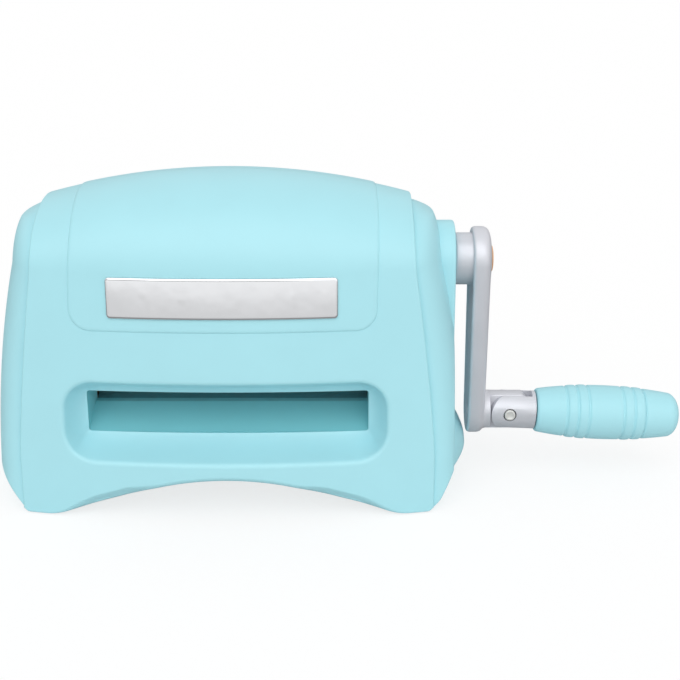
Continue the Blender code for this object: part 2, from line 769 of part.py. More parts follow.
def bore_boss(cap):
    """The boss is hollow behind, and a socket inside it holds the shaft's outer bush."""
    root = SEAM_TOP_X - OVERRUN
    pocket = plate([boss_outline(-WALL)], root, BOSS_FACE_X - WALL)
    cut(cap, add_cutter("boss_pocket", pocket, rotation=TURN_TO_X))
    socket_radius = SHAFT_BUSH_RADIUS + GAP
    axis = (0, 0, CRANK_Z)
    tower = rod(socket_radius + SOCKET_WALL, BOSS_FACE_X - SOCKET_DEPTH, BOSS_FACE_X - WALL / 2)
    join(cap, add_cutter("bush_tower", tower, axis, TURN_TO_X))
    bore = rod(socket_radius, root, BOSS_FACE_X - BUSH_FLANGE)
    cut(cap, add_cutter("bush_bore", bore, axis, TURN_TO_X))
    hole = rod(SHAFT_RADIUS + 2 * GAP, root, BOSS_FACE_X + OVERRUN)
    cut(cap, add_cutter("shaft_hole", hole, axis, TURN_TO_X))


# Base
def make_base_plate():
    """A plate that follows the arch between the covers, with bosses under the frames' flanges."""
    end = seam_half_width(0) - END_TUCK - GAP
    places = [ARCH_ROUND_HALF * step / CORNER_STEPS for step in range(CORNER_STEPS + 1)]
    places += [FOOT_INNER_X, (FOOT_INNER_X + end) / 2, end]
    loops = []
    for across in [-place for place in reversed(places[1:])] + places:
        low = arch_height(across)
        high = low + BASE_THICKNESS
        depth = half_depth(across, high) - WALL - END_FIT
        loops.append([(across, -depth, low), (across, depth, low), (across, depth, high),
                      (across, -depth, high)])
    base = add_object("base_plate", loft(loops), MINT)
    for side in (-1, 1):
        for end_sign in (-1, 1):
            spot = (side * BASE_SCREW_X, end_sign * BASE_SCREW_Y, 0)
            tag = f"{side}_{end_sign}"
            boss = rod(BASE_BOSS_RADIUS, BASE_THICKNESS / 2, BASE_BOSS_TOP)
            join(base, add_cutter(f"base_boss_{tag}", boss, spot))
            head = rod(SCREW_HEAD_RADIUS + SCREW_FIT, -OVERRUN, BASE_SCREW_SEAT)
            cut(base, add_cutter(f"screw_seat_{tag}", head, spot))
            shank = rod(SCREW_RADIUS + SCREW_FIT, -OVERRUN, BASE_BOSS_TOP + OVERRUN)
            cut(base, add_cutter(f"screw_hole_{tag}", shank, spot))
            pad = (side * FOOT_PAD_X, end_sign * FOOT_PAD_Y, 0)
            recess = rod(FOOT_PAD_RADIUS + GAP, -OVERRUN, FOOT_PAD_SINK + GAP)
            cut(base, add_cutter(f"pad_recess_{tag}", recess, pad))


def make_feet():
    for name, side, end_sign in (("front_left_foot", -1, -1), ("front_right_foot", 1, -1),
                                 ("rear_left_foot", -1, 1), ("rear_right_foot", 1, 1)):
        spot = (side * FOOT_PAD_X, end_sign * FOOT_PAD_Y, 0)
        add_object(name, rod(FOOT_PAD_RADIUS, -FOOT_PAD_REVEAL, FOOT_PAD_SINK), RUBBER, spot)


def screw_mesh(length):
    """A pan head screw along local Z, its head above 0 and its shank below."""
    edge = SCREW_HEAD_HEIGHT / 3
    profile = [(0, SCREW_HEAD_HEIGHT), (SCREW_HEAD_RADIUS - edge, SCREW_HEAD_HEIGHT),
               (SCREW_HEAD_RADIUS, SCREW_HEAD_HEIGHT - edge), (SCREW_HEAD_RADIUS, 0),
               (SCREW_RADIUS, 0), (SCREW_RADIUS, -length), (0, -length)]
    return turned(profile, SMALL_STEPS)


def make_base_screws():
    heads_down = (math.pi, 0, 0)
    for name, side, end_sign in (("base_screw_1", -1, -1), ("base_screw_2", 1, -1),
                                 ("base_screw_3", -1, 1), ("base_screw_4", 1, 1)):
        spot = (side * BASE_SCREW_X, end_sign * BASE_SCREW_Y, BASE_SCREW_SEAT - GAP)
        add_object(name, screw_mesh(BASE_SCREW_LENGTH - GAP), ZINC, spot, heads_down)


# Frames and the tubes between them
def tube_places():
    return (("upper_front_tube", -UPPER_TUBE_Y, UPPER_TUBE_Z),
            ("upper_rear_tube", UPPER_TUBE_Y, UPPER_TUBE_Z),
            ("lower_front_tube", -LOWER_TUBE_Y, LOWER_TUBE_Z),
            ("lower_rear_tube", LOWER_TUBE_Y, LOWER_TUBE_Z))


def frame_outline():
    half = [(FRAME_HALF, FRAME_BOTTOM), (FRAME_HALF, FRAME_SHOULDER)]
    half += corner_of((FRAME_TOP_HALF - FRAME_CORNER, FRAME_TOP - FRAME_CORNER), FRAME_CORNER, 0)
    return half + [(-across, up) for across, up in reversed(half)]


def make_side_frame(name, side, holds_crank):
    """A steel plate with its foot bent outwards, bored for the bushes and the tubes' screws."""
    outlines = [frame_outline()]
    for height in (UPPER_ROLLER_Z, LOWER_ROLLER_Z):
        outlines.append(circle((0, height), BUSH_RADIUS + GAP, ROUND_STEPS))
    if holds_crank:
        outlines.append(circle((0, CRANK_Z), SHAFT_BUSH_RADIUS + GAP, ROUND_STEPS))
    for tube, depth, height in tube_places():
        outlines.append(circle((depth, height), SCREW_RADIUS + SCREW_FIT, SMALL_STEPS))
    start = FRAME_INNER_X if side > 0 else -FRAME_OUTER_X
    mesh = plate(outlines, start, start + FRAME_THICKNESS)
    frame = add_object(name, mesh, ZINC, rotation=TURN_TO_X)
    root = FRAME_OUTER_X - FRAME_THICKNESS / 2
    span = sorted((side * root, side * FLANGE_OUTER_X))
    low = (span[0], -FLANGE_HALF, FRAME_BOTTOM)
    high = (span[1], FLANGE_HALF, FRAME_BOTTOM + FRAME_THICKNESS)
    join(frame, add_cutter(f"{name}_flange", block(low, high)))
    for end_sign in (-1, 1):
        spot = (side * BASE_SCREW_X, end_sign * BASE_SCREW_Y, 0)
        hole = rod(SCREW_RADIUS + SCREW_FIT, FRAME_BOTTOM - OVERRUN, FRAME_BOTTOM + 2 * OVERRUN)
        cut(frame, add_cutter(f"{name}_hole_{end_sign}", hole, spot))


def make_tubes():
    """Tubes that keep the frames apart, with a screw through the frame into each end."""
    half = FRAME_INNER_X - GAP
    bore = SCREW_RADIUS + SCREW_FIT
    profile = [(bore, half), (TUBE_RADIUS, half), (TUBE_RADIUS, -half), (bore, -half)]
    for name, depth, height in tube_places():
        add_object(name, turned(profile, SMALL_STEPS, ring=True), ZINC, (0, depth, height), TURN_TO_X)
        for side_name, side in (("left", -1), ("right", 1)):
            spot = (side * (FRAME_OUTER_X + GAP), depth, height)
            turn = TURN_TO_X if side > 0 else (math.pi / 2, 0, -math.pi / 2)
            screw_name = f"{side_name}_{name.replace('tube', 'screw')}"
            add_object(screw_name, screw_mesh(TUBE_SCREW_LENGTH), ZINC, spot, turn)


# Rollers
def flat_shaft(name, profile, material, height, flats, depth, flat):
    """A turned shaft along X with one flat near each end that carries a gear."""
    shaft = add_object(name, turned(profile), material, (0, 0, height), TURN_TO_X)
    for tag, start, end in flats:
        low = (start, -depth, height + flat)
        cut(shaft, add_cutter(f"{name}_flat_{tag}", block(low, (end, depth, height + 2 * depth))))
    return shaft


def clip_start(end):
    return end - SHAFT_END - CLIP_THICKNESS - GAP


def end_steps(radius, end):
    """The end of a shaft outside its groove, as steps from the tip inwards."""
    groove_start = clip_start(end) - GAP / 2
    groove_end = groove_start + CLIP_THICKNESS + GAP
    bevel = SHAFT_END / 2
    return [(0, end), (radius - bevel, end), (radius, end - bevel), (radius, groove_end),
            (radius - CLIP_GROOVE, groove_end), (radius - CLIP_GROOVE, groove_start),
            (radius, groove_start)]


def mirror_steps(steps):
    return [(radius, -height) for radius, height in reversed(steps)]


def geared_end_x():
    """A shaft end outside a gear: the gear, its gap, the clip and the tip."""
    return GEAR_END_X + 2 * GAP + CLIP_THICKNESS + SHAFT_END


def plain_end_x():
    return FRAME_OUTER_X + BUSH_REVEAL + 2 * GAP + CLIP_THICKNESS + SHAFT_END


def make_rollers():
    for name, height, right_end in (("upper_roller", UPPER_ROLLER_Z, geared_end_x()),
                                    ("lower_roller", LOWER_ROLLER_Z, plain_end_x())):
        profile = end_steps(JOURNAL_RADIUS, right_end)
        profile += [(JOURNAL_RADIUS, ROLLER_HALF), (ROLLER_RADIUS, ROLLER_HALF)]
        profile += [(ROLLER_RADIUS, -ROLLER_HALF), (JOURNAL_RADIUS, -ROLLER_HALF)]
        profile += mirror_steps(end_steps(JOURNAL_RADIUS, geared_end_x()))
        start = GEAR_START_X - GAP
        flats = [("left", -geared_end_x() - OVERRUN, -start)]
        if right_end == geared_end_x():
            flats.append(("right", start, right_end + OVERRUN))
        flat_shaft(name, profile, STEEL, height, flats, JOURNAL_RADIUS + OVERRUN, JOURNAL_FLAT)


def bush_mesh(bore, radius, flange_radius):
    """A flanged bush along local Z: the flange lies below 0 and the body goes up through the frame."""
    body = FRAME_THICKNESS + GAP + BUSH_REVEAL
    profile = [(bore, body), (radius, body), (radius, 0), (flange_radius, 0),
               (flange_radius, -BUSH_FLANGE), (bore, -BUSH_FLANGE)]
    return turned(profile, ROUND_STEPS, ring=True)


def make_bushes():
    seat = FRAME_INNER_X - GAP
    turn_left = (math.pi / 2, 0, -math.pi / 2)
    for side_name, side, turn in (("left", -1, turn_left), ("right", 1, TURN_TO_X)):
        for level, height in (("upper", UPPER_ROLLER_Z), ("lower", LOWER_ROLLER_Z)):
            mesh = bush_mesh(JOURNAL_RADIUS + GAP, BUSH_RADIUS, BUSH_FLANGE_RADIUS)
            add_object(f"{side_name}_{level}_bush", mesh, BRASS, (side * seat, 0, height), turn)
    inner = bush_mesh(SHAFT_RADIUS + GAP, SHAFT_BUSH_RADIUS, SHAFT_BUSH_FLANGE_RADIUS)
    add_object("inner_shaft_bush", inner, BRASS, (seat, 0, CRANK_Z), TURN_TO_X)
    start = BOSS_FACE_X - SOCKET_DEPTH
    end = BOSS_FACE_X - BUSH_FLANGE - GAP
    bore = SHAFT_RADIUS + GAP
    profile = [(bore, end), (SHAFT_BUSH_RADIUS, end), (SHAFT_BUSH_RADIUS, start), (bore, start)]
    add_object("outer_shaft_bush", turned(profile, ring=True), BRASS, (0, 0, CRANK_Z), TURN_TO_X)


def clip_mesh(shaft_radius, start):
    inner = shaft_radius - CLIP_GROOVE + GAP
    end = start + CLIP_THICKNESS
    profile = [(inner, end), (CLIP_RADIUS, end), (CLIP_RADIUS, start), (inner, start)]
    return turned(profile, SMALL_STEPS, ring=True)


# Gears
def tooth_half_angle(radius, teeth):
    """Half the angle of a tooth at a radius, on a true involute."""
    pitch = GEAR_MODULE * teeth / 2
    base = pitch * math.cos(PRESSURE_ANGLE)
    roll = math.acos(min(base / radius, 1.0))
    at_pitch = math.pi / (2 * teeth) - TOOTH_THINNING / (2 * pitch)
    return at_pitch + math.tan(PRESSURE_ANGLE) - PRESSURE_ANGLE - math.tan(roll) + roll


def gear_outline(teeth, tooth_at):
    """The outline of a gear that has a tooth centred at an angle in degrees."""
    pitch = GEAR_MODULE * teeth / 2
    base = pitch * math.cos(PRESSURE_ANGLE)
    tip = pitch + GEAR_MODULE * ADDENDUM_SHARE
    root = pitch - GEAR_MODULE * DEDENDUM_SHARE
    start = max(base, root)
    flank = [root] if root < base else []
    flank += [start + (tip - start) * share for share in (0, 0.3, 0.65, 1)]
    points = []
    for tooth in range(teeth):
        centre = math.radians(tooth_at) + 2 * math.pi * tooth / teeth
        sides = [(radius, -tooth_half_angle(max(radius, start), teeth)) for radius in flank]
        sides += [(radius, -angle) for radius, angle in reversed(sides)]
        points += [(radius * math.cos(centre + angle), radius * math.sin(centre + angle))
                   for radius, angle in sides]
    return points


def bore_outline(radius, flat):
    """A bore with a flat at its top, a fit larger than its shaft."""
    size = radius + GAP
    level = flat + GAP
    angle = math.degrees(math.asin(level / size))
    return arc((0, 0), size, 180 - angle, 360 + angle, ROUND_STEPS // 2)


def make_gear(name, teeth, tooth_at, bore, height, start, parent=None):
    mesh = plate([gear_outline(teeth, tooth_at), bore], start, start + GEAR_WIDTH)
    place = (0, 0, height) if parent is None else (0, 0, 0)
    return add_object(name, mesh, BLACK_GEAR, place, TURN_TO_X, parent)


def make_gears(crank_axis):
    journal = bore_outline(JOURNAL_RADIUS, JOURNAL_FLAT)
    shaft = bore_outline(SHAFT_RADIUS, SHAFT_FLAT)
    left = -GEAR_END_X
    half_pitch_turn = 180 / PINION_TEETH
    make_gear("drive_pinion", PINION_TEETH, -90 + half_pitch_turn, shaft, 0, GEAR_START_X, crank_axis)
    make_gear("drive_gear", DRIVE_TEETH, 90, journal, UPPER_ROLLER_Z, GEAR_START_X)
    make_gear("upper_sync_gear", SYNC_TEETH, -90 + 180 / SYNC_TEETH, journal, UPPER_ROLLER_Z, left)
    make_gear("lower_sync_gear", SYNC_TEETH, 90, journal, LOWER_ROLLER_Z, left)
    outside = clip_start(geared_end_x())
    for name, height, start in (("drive_gear_clip", UPPER_ROLLER_Z, outside),
                                ("upper_sync_clip", UPPER_ROLLER_Z, -outside - CLIP_THICKNESS),
                                ("lower_sync_clip", LOWER_ROLLER_Z, -outside - CLIP_THICKNESS),
                                ("lower_roller_clip", LOWER_ROLLER_Z, clip_start(plain_end_x()))):
        add_object(name, clip_mesh(JOURNAL_RADIUS, start), STEEL, (0, 0, height), TURN_TO_X)


# Crank
def make_crank_shaft(crank_axis):
    """From a clip inside the frame, through the pinion and both bushes, into the arm's hub."""
    bore = SCREW_RADIUS + SCREW_FIT
    head_end = FRAME_INNER_X - BUSH_FLANGE - 2 * GAP
    profile = [(bore, SHAFT_TIP_X), (SHAFT_RADIUS, SHAFT_TIP_X), (SHAFT_RADIUS, head_end)]
    profile += [(SHAFT_HEAD_RADIUS, head_end), (SHAFT_HEAD_RADIUS, SHAFT_INNER_X), (0, SHAFT_INNER_X)]
    profile += [(0, SHAFT_TIP_X - CRANK_SCREW_LENGTH), (bore, SHAFT_TIP_X - CRANK_SCREW_LENGTH)]
    shaft = add_object("crank_shaft", turned(profile, ring=True), STEEL, rotation=TURN_TO_X,
                       parent=crank_axis)
    wide = SHAFT_RADIUS + OVERRUN
    gear_flat = block((GEAR_START_X - GAP, -wide, SHAFT_FLAT), (GEAR_END_X + GAP, wide, wide))
    cut(shaft, add_cutter("shaft_gear_flat", gear_flat, parent=crank_axis))
    tip_flat = block((BOSS_FACE_X + GAP, -wide, SHAFT_FLAT), (SHAFT_TIP_X + OVERRUN, wide, wide))
    cut(shaft, add_cutter("shaft_tip_flat", tip_flat, parent=crank_axis))


def arm_outline(top_radius, foot_radius, top, foot):
    """A tapering bar with round ends, as (Y, Z) points about the crank's axis."""
    points = arc((0, top), top_radius, 0, 180, 2 * CORNER_STEPS)
    points += arc((0, foot), foot_radius, 180, 360, 2 * CORNER_STEPS)
    return points


def make_crank_arm(crank_axis):
    """The arm with its hub, open channel, screw seat and the half of the knuckle it carries."""
    outline = arm_outline(ARM_TOP_RADIUS, ARM_FOOT_RADIUS, 0, -ARM_LENGTH)
    arm = add_object("crank_arm", plate([outline], ARM_INNER_X, ARM_OUTER_X), SILVER, rotation=TURN_TO_X,
                     parent=crank_axis)
    bevel = arm.modifiers.new("edges", "BEVEL")
    bevel.width = ARM_RIM / 2
    bevel.segments = 2
    bevel.limit_method = "ANGLE"
    top = -HUB_RADIUS - ARM_TOP_RADIUS + ARM_RIM
    channel = arm_outline(ARM_TOP_RADIUS - 2 * ARM_RIM, ARM_FOOT_RADIUS - ARM_RIM, top, -ARM_LENGTH)
    pocket = plate([channel], ARM_INNER_X - OVERRUN, ARM_OUTER_X - ARM_WEB)
    cut(arm, add_cutter("arm_channel", pocket, rotation=TURN_TO_X, parent=crank_axis))
    foot = (0, 0, -ARM_LENGTH)
    hub = rod(HUB_RADIUS, BOSS_FACE_X + 2 * GAP, ARM_INNER_X + ARM_THICKNESS / 2, ROUND_STEPS)
    join(arm, add_cutter("arm_hub", hub, rotation=TURN_TO_X, parent=crank_axis))
    knuckle = rod(KNUCKLE_RADIUS, ARM_OUTER_X - ARM_WEB / 2, ARM_OUTER_X + KNUCKLE_BLOCK, ROUND_STEPS)
    join(arm, add_cutter("knuckle_block", knuckle, foot, TURN_TO_X, crank_axis))
    join(arm, add_cutter("knuckle_tongue", tongue_mesh(), (PIN_X, 0, -ARM_LENGTH), TURN_TO_Y, crank_axis))
    socket = plate([bore_outline(SHAFT_RADIUS, SHAFT_FLAT)], BOSS_FACE_X - OVERRUN, SHAFT_TIP_X + GAP)
    cut(arm, add_cutter("shaft_socket", socket, rotation=TURN_TO_X, parent=crank_axis))
    seat = rod(CAP_SEAT_RADIUS, ARM_OUTER_X - CAP_SEAT_DEPTH, ARM_OUTER_X + OVERRUN)
    cut(arm, add_cutter("screw_seat", seat, rotation=TURN_TO_X, parent=crank_axis))
    hole = rod(SCREW_RADIUS + SCREW_FIT, BOSS_FACE_X, ARM_OUTER_X + OVERRUN)
    cut(arm, add_cutter("screw_hole", hole, rotation=TURN_TO_X, parent=crank_axis))
    pin_hole = rod(PIN_RADIUS + GAP / 2, -KNUCKLE_RADIUS, KNUCKLE_RADIUS, ROUND_STEPS)
    cut(arm, add_cutter("tongue_pin_hole", pin_hole, (PIN_X, 0, -ARM_LENGTH), TURN_TO_Y, crank_axis))


def tongue_mesh():
    """The tongue about the pin: round above, where the fork swings, and square below, as its stop."""
    root = -(PIN_OFFSET - KNUCKLE_BLOCK / 2)
    start_angle = math.degrees(math.asin(TONGUE_HALF_HEIGHT / TONGUE_REACH))
    outline = [(root, -TONGUE_HALF_HEIGHT), (TONGUE_REACH, -TONGUE_HALF_HEIGHT)]
    outline += arc((0, 0), TONGUE_REACH, 0, start_angle, CORNER_STEPS)
    outline.append((root, TONGUE_HALF_HEIGHT))
    return plate([outline], -TONGUE_THICKNESS / 2, TONGUE_THICKNESS / 2)


def make_crank_trim(crank_axis):
    screw = screw_mesh(CRANK_SCREW_LENGTH)
    seat = ARM_OUTER_X - CAP_SEAT_DEPTH + GAP
    add_object("crank_screw", screw, ZINC, (seat, 0, 0), TURN_TO_X, crank_axis)
    plug = CAP_SEAT_RADIUS - GAP
    face = ARM_OUTER_X + GAP
    edge = CAP_HEIGHT / 3
    top = face + CAP_HEIGHT
    profile = [(0, top), (CAP_RADIUS - edge, top), (CAP_RADIUS, top - edge), (CAP_RADIUS, face),
               (plug, face), (plug, face - CAP_PLUG), (0, face - CAP_PLUG)]
    add_object("crank_cap", turned(profile), ORANGE, rotation=TURN_TO_X, parent=crank_axis)


# Handle
def make_handle(fold_axis):
    """The fork, its pin, the spindle and the grip, laid out along the grip from the pin."""
    clevis = add_object("grip_clevis", rod(KNUCKLE_RADIUS, -EAR_RADIUS, CLEVIS_END, ROUND_STEPS), SILVER,
                        rotation=TURN_TO_X, parent=fold_axis)
    ears = arc((0, 0), EAR_RADIUS, 90, 270, 3 * CORNER_STEPS)
    beyond = KNUCKLE_RADIUS + OVERRUN
    ears += [(CLEVIS_END / 2, -EAR_RADIUS), (CLEVIS_END / 2, -beyond), (CLEVIS_END + OVERRUN, -beyond),
             (CLEVIS_END + OVERRUN, beyond), (CLEVIS_END / 2, beyond), (CLEVIS_END / 2, EAR_RADIUS)]
    shape = add_cutter("ear_shape", plate([ears], -beyond, beyond), rotation=TURN_TO_Y, parent=fold_axis)
    combine(clevis, shape, "INTERSECT")
    half = CLEVIS_GAP / 2
    fork = block((-beyond, -half, -beyond), (WEB_START, half, beyond))
    cut(clevis, add_cutter("fork_gap", fork, parent=fold_axis))
    stub = rod(STUB_RADIUS, WEB_START + (CLEVIS_END - WEB_START) / 2, CLEVIS_END + STUB_LENGTH)
    join(clevis, add_cutter("clevis_stub", stub, rotation=TURN_TO_X, parent=fold_axis))
    bore = rod(SPINDLE_RADIUS + GAP, CLEVIS_END, CLEVIS_END + STUB_LENGTH + OVERRUN)
    cut(clevis, add_cutter("spindle_bore", bore, rotation=TURN_TO_X, parent=fold_axis))
    pin_hole = rod(PIN_RADIUS + GAP, -beyond, beyond, ROUND_STEPS)
    cut(clevis, add_cutter("clevis_pin_hole", pin_hole, rotation=TURN_TO_Y, parent=fold_axis))
    make_grip(fold_axis)


def make_fold_pin(crank_axis):
    tip = KNUCKLE_RADIUS + PIN_REVEAL
    edge = PIN_RADIUS / 6
    profile = [(0, tip), (PIN_RADIUS - edge, tip), (PIN_RADIUS, tip - edge),
               (PIN_RADIUS, edge - tip), (PIN_RADIUS - edge, -tip), (0, -tip)]
    place = (PIN_X, 0, -ARM_LENGTH)
    add_object("fold_pin", turned(profile, SMALL_STEPS), STEEL, place, TURN_TO_Y, crank_axis)


def grip_radius(along):
    """Radius of the grip, swelling from the knuckle to its belly and drawing in to its end."""
    if along <= GRIP_BELLY:
        share = (GRIP_BELLY - along) / (GRIP_BELLY - GRIP_START)
        return GRIP_BELLY_RADIUS - (GRIP_BELLY_RADIUS - GRIP_START_RADIUS) * share ** 2
    share = (along - GRIP_BELLY) / (GRIP_END - GRIP_BELLY)
    return GRIP_BELLY_RADIUS - (GRIP_BELLY_RADIUS - GRIP_END_RADIUS) * share ** 2


def groove_centres():
    return [first + GROOVE_PITCH * index for first in (FIRST_GROOVES, LAST_GROOVES)
            for index in range(GROOVES_IN_A_GROUP)]


def grip_side(start, end, ends_in_groove=False, starts_in_groove=False):
    """Points down the outer side of the grip from its far end to its near one, grooves included."""
    steps = 2 * CORNER_STEPS
    stations = [start + (end - start) * step / steps for step in range(steps + 1)]
    points = [(along, 0) for along in stations
              if all(abs(along - centre) > GROOVE_PITCH / 2 for centre in groove_centres())]
    ends = ((start, starts_in_groove), (end, ends_in_groove))
    points += [(place, 0) for place, sunk in ends if not sunk]
    for centre in groove_centres():
        for along, depth in ((centre - GROOVE_HALF, 0), (centre, GROOVE_DEPTH), (centre + GROOVE_HALF, 0)):
            if start < along < end:
                points.append((along, depth))
    points += [(place, GROOVE_DEPTH) for place, sunk in ends if sunk]
    return [(grip_radius(along) - depth, along) for along, depth in sorted(set(points), reverse=True)]


def make_grip(fold_axis):
    head_start = GRIP_SPLIT - SPINDLE_HEAD - 2 * GAP
    bore = SPINDLE_RADIUS + GAP
    socket = STUB_RADIUS + GAP
    socket_end = CLEVIS_END + STUB_LENGTH + GAP
    head_room = SPINDLE_HEAD_RADIUS + GAP
    profile = grip_side(GRIP_START, GRIP_SPLIT, ends_in_groove=True)
    profile += [(socket, GRIP_START), (socket, socket_end), (bore, socket_end), (bore, head_start),
                (head_room, head_start), (head_room, GRIP_SPLIT)]
    add_object("grip", turned(profile, ring=True), MINT, rotation=TURN_TO_X, parent=fold_axis)
    spindle = [(0, GRIP_SPLIT - GAP), (SPINDLE_HEAD_RADIUS, GRIP_SPLIT - GAP),
               (SPINDLE_HEAD_RADIUS, head_start + GAP), (SPINDLE_RADIUS, head_start + GAP),
               (SPINDLE_RADIUS, CLEVIS_END + GAP), (0, CLEVIS_END + GAP)]
    add_object("grip_spindle", turned(spindle), STEEL, rotation=TURN_TO_X, parent=fold_axis)
    nose = [(0, GRIP_END)]
    nose_start = GRIP_END - GRIP_NOSE
    for step in range(1, 2 * CORNER_STEPS + 1):
        turn = math.pi / 2 * step / (2 * CORNER_STEPS)
        nose.append((grip_radius(nose_start) * math.sin(turn), nose_start + GRIP_NOSE * math.cos(turn)))
    seam = GRIP_SPLIT + GAP
    nose += grip_side(seam, nose_start, starts_in_groove=True)[1:]
    nose.append((0, seam))
    add_object("grip_end_cap", turned(nose), MINT, rotation=TURN_TO_X, parent=fold_axis)


# Feed guides
def guide_mesh():
    """The front guide: a box that reaches the frames, cut out by the climbing passage."""
    half = FRAME_INNER_X - GAP
    start = THROAT_Y - GAP
    body = [(-start, THROAT_BOTTOM), (-GUIDE_RAMP_END_Y, GUIDE_FLOOR), (-GUIDE_END_Y, GUIDE_FLOOR)]
    outline = [(depth, height - GUIDE_WALL) for depth, height in body]
    outline += [(-GUIDE_END_Y, THROAT_TOP + GUIDE_WALL), (-start, THROAT_TOP + GUIDE_WALL)]
    guide = add_object("guide_blank", plate([outline], -half, half), MINT, rotation=TURN_TO_X)
    slope = (GUIDE_FLOOR - THROAT_BOTTOM) / (start - GUIDE_RAMP_END_Y)
    passage = [(-start - OVERRUN, THROAT_BOTTOM - OVERRUN * slope), (-GUIDE_RAMP_END_Y, GUIDE_FLOOR),
               (OVERRUN - GUIDE_END_Y, GUIDE_FLOOR), (OVERRUN - GUIDE_END_Y, THROAT_TOP),
               (-start - OVERRUN, THROAT_TOP)]
    cut(guide, add_cutter("guide_passage", plate([passage], -THROAT_HALF, THROAT_HALF), rotation=TURN_TO_X))
    mesh = finished_mesh(guide)
    bpy.data.objects.remove(guide)
    return mesh


def make_guides():
    mesh = guide_mesh()
    add_object("front_feed_guide", mesh, MINT, rotation=TURN_TO_X)
    rear = mesh.copy()
    rear.transform(Matrix.Rotation(math.pi, 4, "Y"))
    add_object("rear_feed_guide", rear, MINT, rotation=TURN_TO_X)


def build():
    crank_axis = add_empty("crank_axis", (0, 0, CRANK_Z), parent=MACHINE)
    fold_axis = add_empty("fold_axis", (PIN_X, 0, -ARM_LENGTH), (0, GRIP_DROOP, 0), crank_axis)
    bpy.context.view_layer.update()
    make_covers()
    make_name_plate()
    make_end_cap("left_end_cap", HALF_TURN, False)
    make_end_cap("right_end_cap", (0, 0, 0), True)
    make_base_plate()
    make_feet()
    make_base_screws()
    make_side_frame("left_side_frame", -1, False)
    make_side_frame("right_side_frame", 1, True)
    make_tubes()
    make_rollers()
    make_bushes()
    make_gears(crank_axis)
    make_guides()
    make_crank_shaft(crank_axis)
    make_crank_arm(crank_axis)
    make_crank_trim(crank_axis)
    make_fold_pin(crank_axis)
    make_handle(fold_axis)


MACHINE = add_empty("machine", (BODY_SHIFT_X, 0, FOOT_PAD_REVEAL))
build()
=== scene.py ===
"""Looks for the hand cranked die cutting machine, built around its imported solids.

Sizes are in millimetres, with X and Y about the middle of the casing and Z from its lowest edge up.
They become metres, and move to the frame's origin, when a mesh is made.
"""
import json
import math

import bmesh
import bpy
import numpy as np
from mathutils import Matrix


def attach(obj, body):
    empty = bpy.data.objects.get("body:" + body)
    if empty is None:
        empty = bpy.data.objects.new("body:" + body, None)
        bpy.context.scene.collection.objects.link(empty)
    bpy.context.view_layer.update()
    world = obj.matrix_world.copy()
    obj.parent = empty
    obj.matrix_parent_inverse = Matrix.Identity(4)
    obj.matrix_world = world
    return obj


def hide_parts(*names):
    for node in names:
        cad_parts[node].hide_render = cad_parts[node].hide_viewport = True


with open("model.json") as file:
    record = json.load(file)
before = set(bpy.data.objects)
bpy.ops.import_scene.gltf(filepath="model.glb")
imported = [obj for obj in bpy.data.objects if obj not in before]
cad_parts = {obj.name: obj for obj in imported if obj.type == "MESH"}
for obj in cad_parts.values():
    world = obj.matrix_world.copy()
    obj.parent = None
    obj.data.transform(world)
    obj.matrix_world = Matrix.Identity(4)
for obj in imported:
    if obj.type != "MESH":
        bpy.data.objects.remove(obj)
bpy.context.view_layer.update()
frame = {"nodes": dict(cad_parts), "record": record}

# Casing: half widths in X, heights in Z and half depths in Y, close to the solids' own
BODY_TOP = 179.6
CREST_RADIUS = 378.0
DOME_BASE = 134.0
# A run is a height up to the dome, and then a way over the dome, up to the crest
DOME_RUN = 78.0
TOP_RUN = DOME_BASE + DOME_RUN
# How far a run may go past the crest, as a share of the dome's run
CREST_SHARE = 1.2
SEAM_TOP_X = 101.1
SEAM_BASE_X = 112.7
SEAM_FLARE_END = 30.0
SEAM_FLARE_POWER = 1.3
SEAM_CROWN = 1.2
DEPTH_AT_DOME = 46.0
DEPTH_AT_BASE = 54.0
PLAN_RADIUS = 528.0
PLAN_REACH = 106.0

# The flared slot, the throat at its bottom, which bows out like the face, and the slot's lip
SLOT_HALF = 86.65
SLOT_BOTTOM = 31.9
SLOT_TOP = 76.1
SLOT_CORNER = 16.5
THROAT_HALF = 76.6
THROAT_BOTTOM = 42.5
THROAT_TOP = 66.0
THROAT_CORNER = 1.6
THROAT_Y = 39.5
THROAT_BOW = 3.6
THROAT_EASE = 0.8
FLANGE_GROW = 1.6
FLANGE_BACK = 1.0
FLARE_BOW = 3.0
LIP_ROUND = 2.6
LIP_GROW = 0.8

# The arch with its slopes and the slanted corners. Two values are the start and end of a soft step.
ARCH_TOP = 22.0
ARCH_RADIUS = 153.0
ARCH_ROUND_HALF = 50.0
FOOT_INNER_X = 93.0
FOOT_OUTER_X = 110.4
CORNER_X = 130.4
CORNER_Z = 19.0
ARCH_SOFT = 2.0
CORNER_SOFT = 1.0
SLOPE_BEGINS = (36, 56)
SLOPE_ENDS = (70, 98)

# The rounding of the covers' edges: how much, and how flat along the lower edge
SEAM_ROUND = 1.1
FOOT_ROUND = 0.9
ARCH_ROUND_MORE = 2.0
SLOPE_ROUND_MORE = 3.0
LOW_ROUND_DEPTH = 1.05
LOW_FLAT_ARCH = 0.4675
LOW_FLAT_SLOPE = 0.3825
CREST_ROUND = 0.12
# How far below the crest the face ends, and its edge
CREST_IN = 0.15
CREST_GAP = 0.03
# How deep the flange behind the edge reaches
EDGE_DEPTH = 9.0

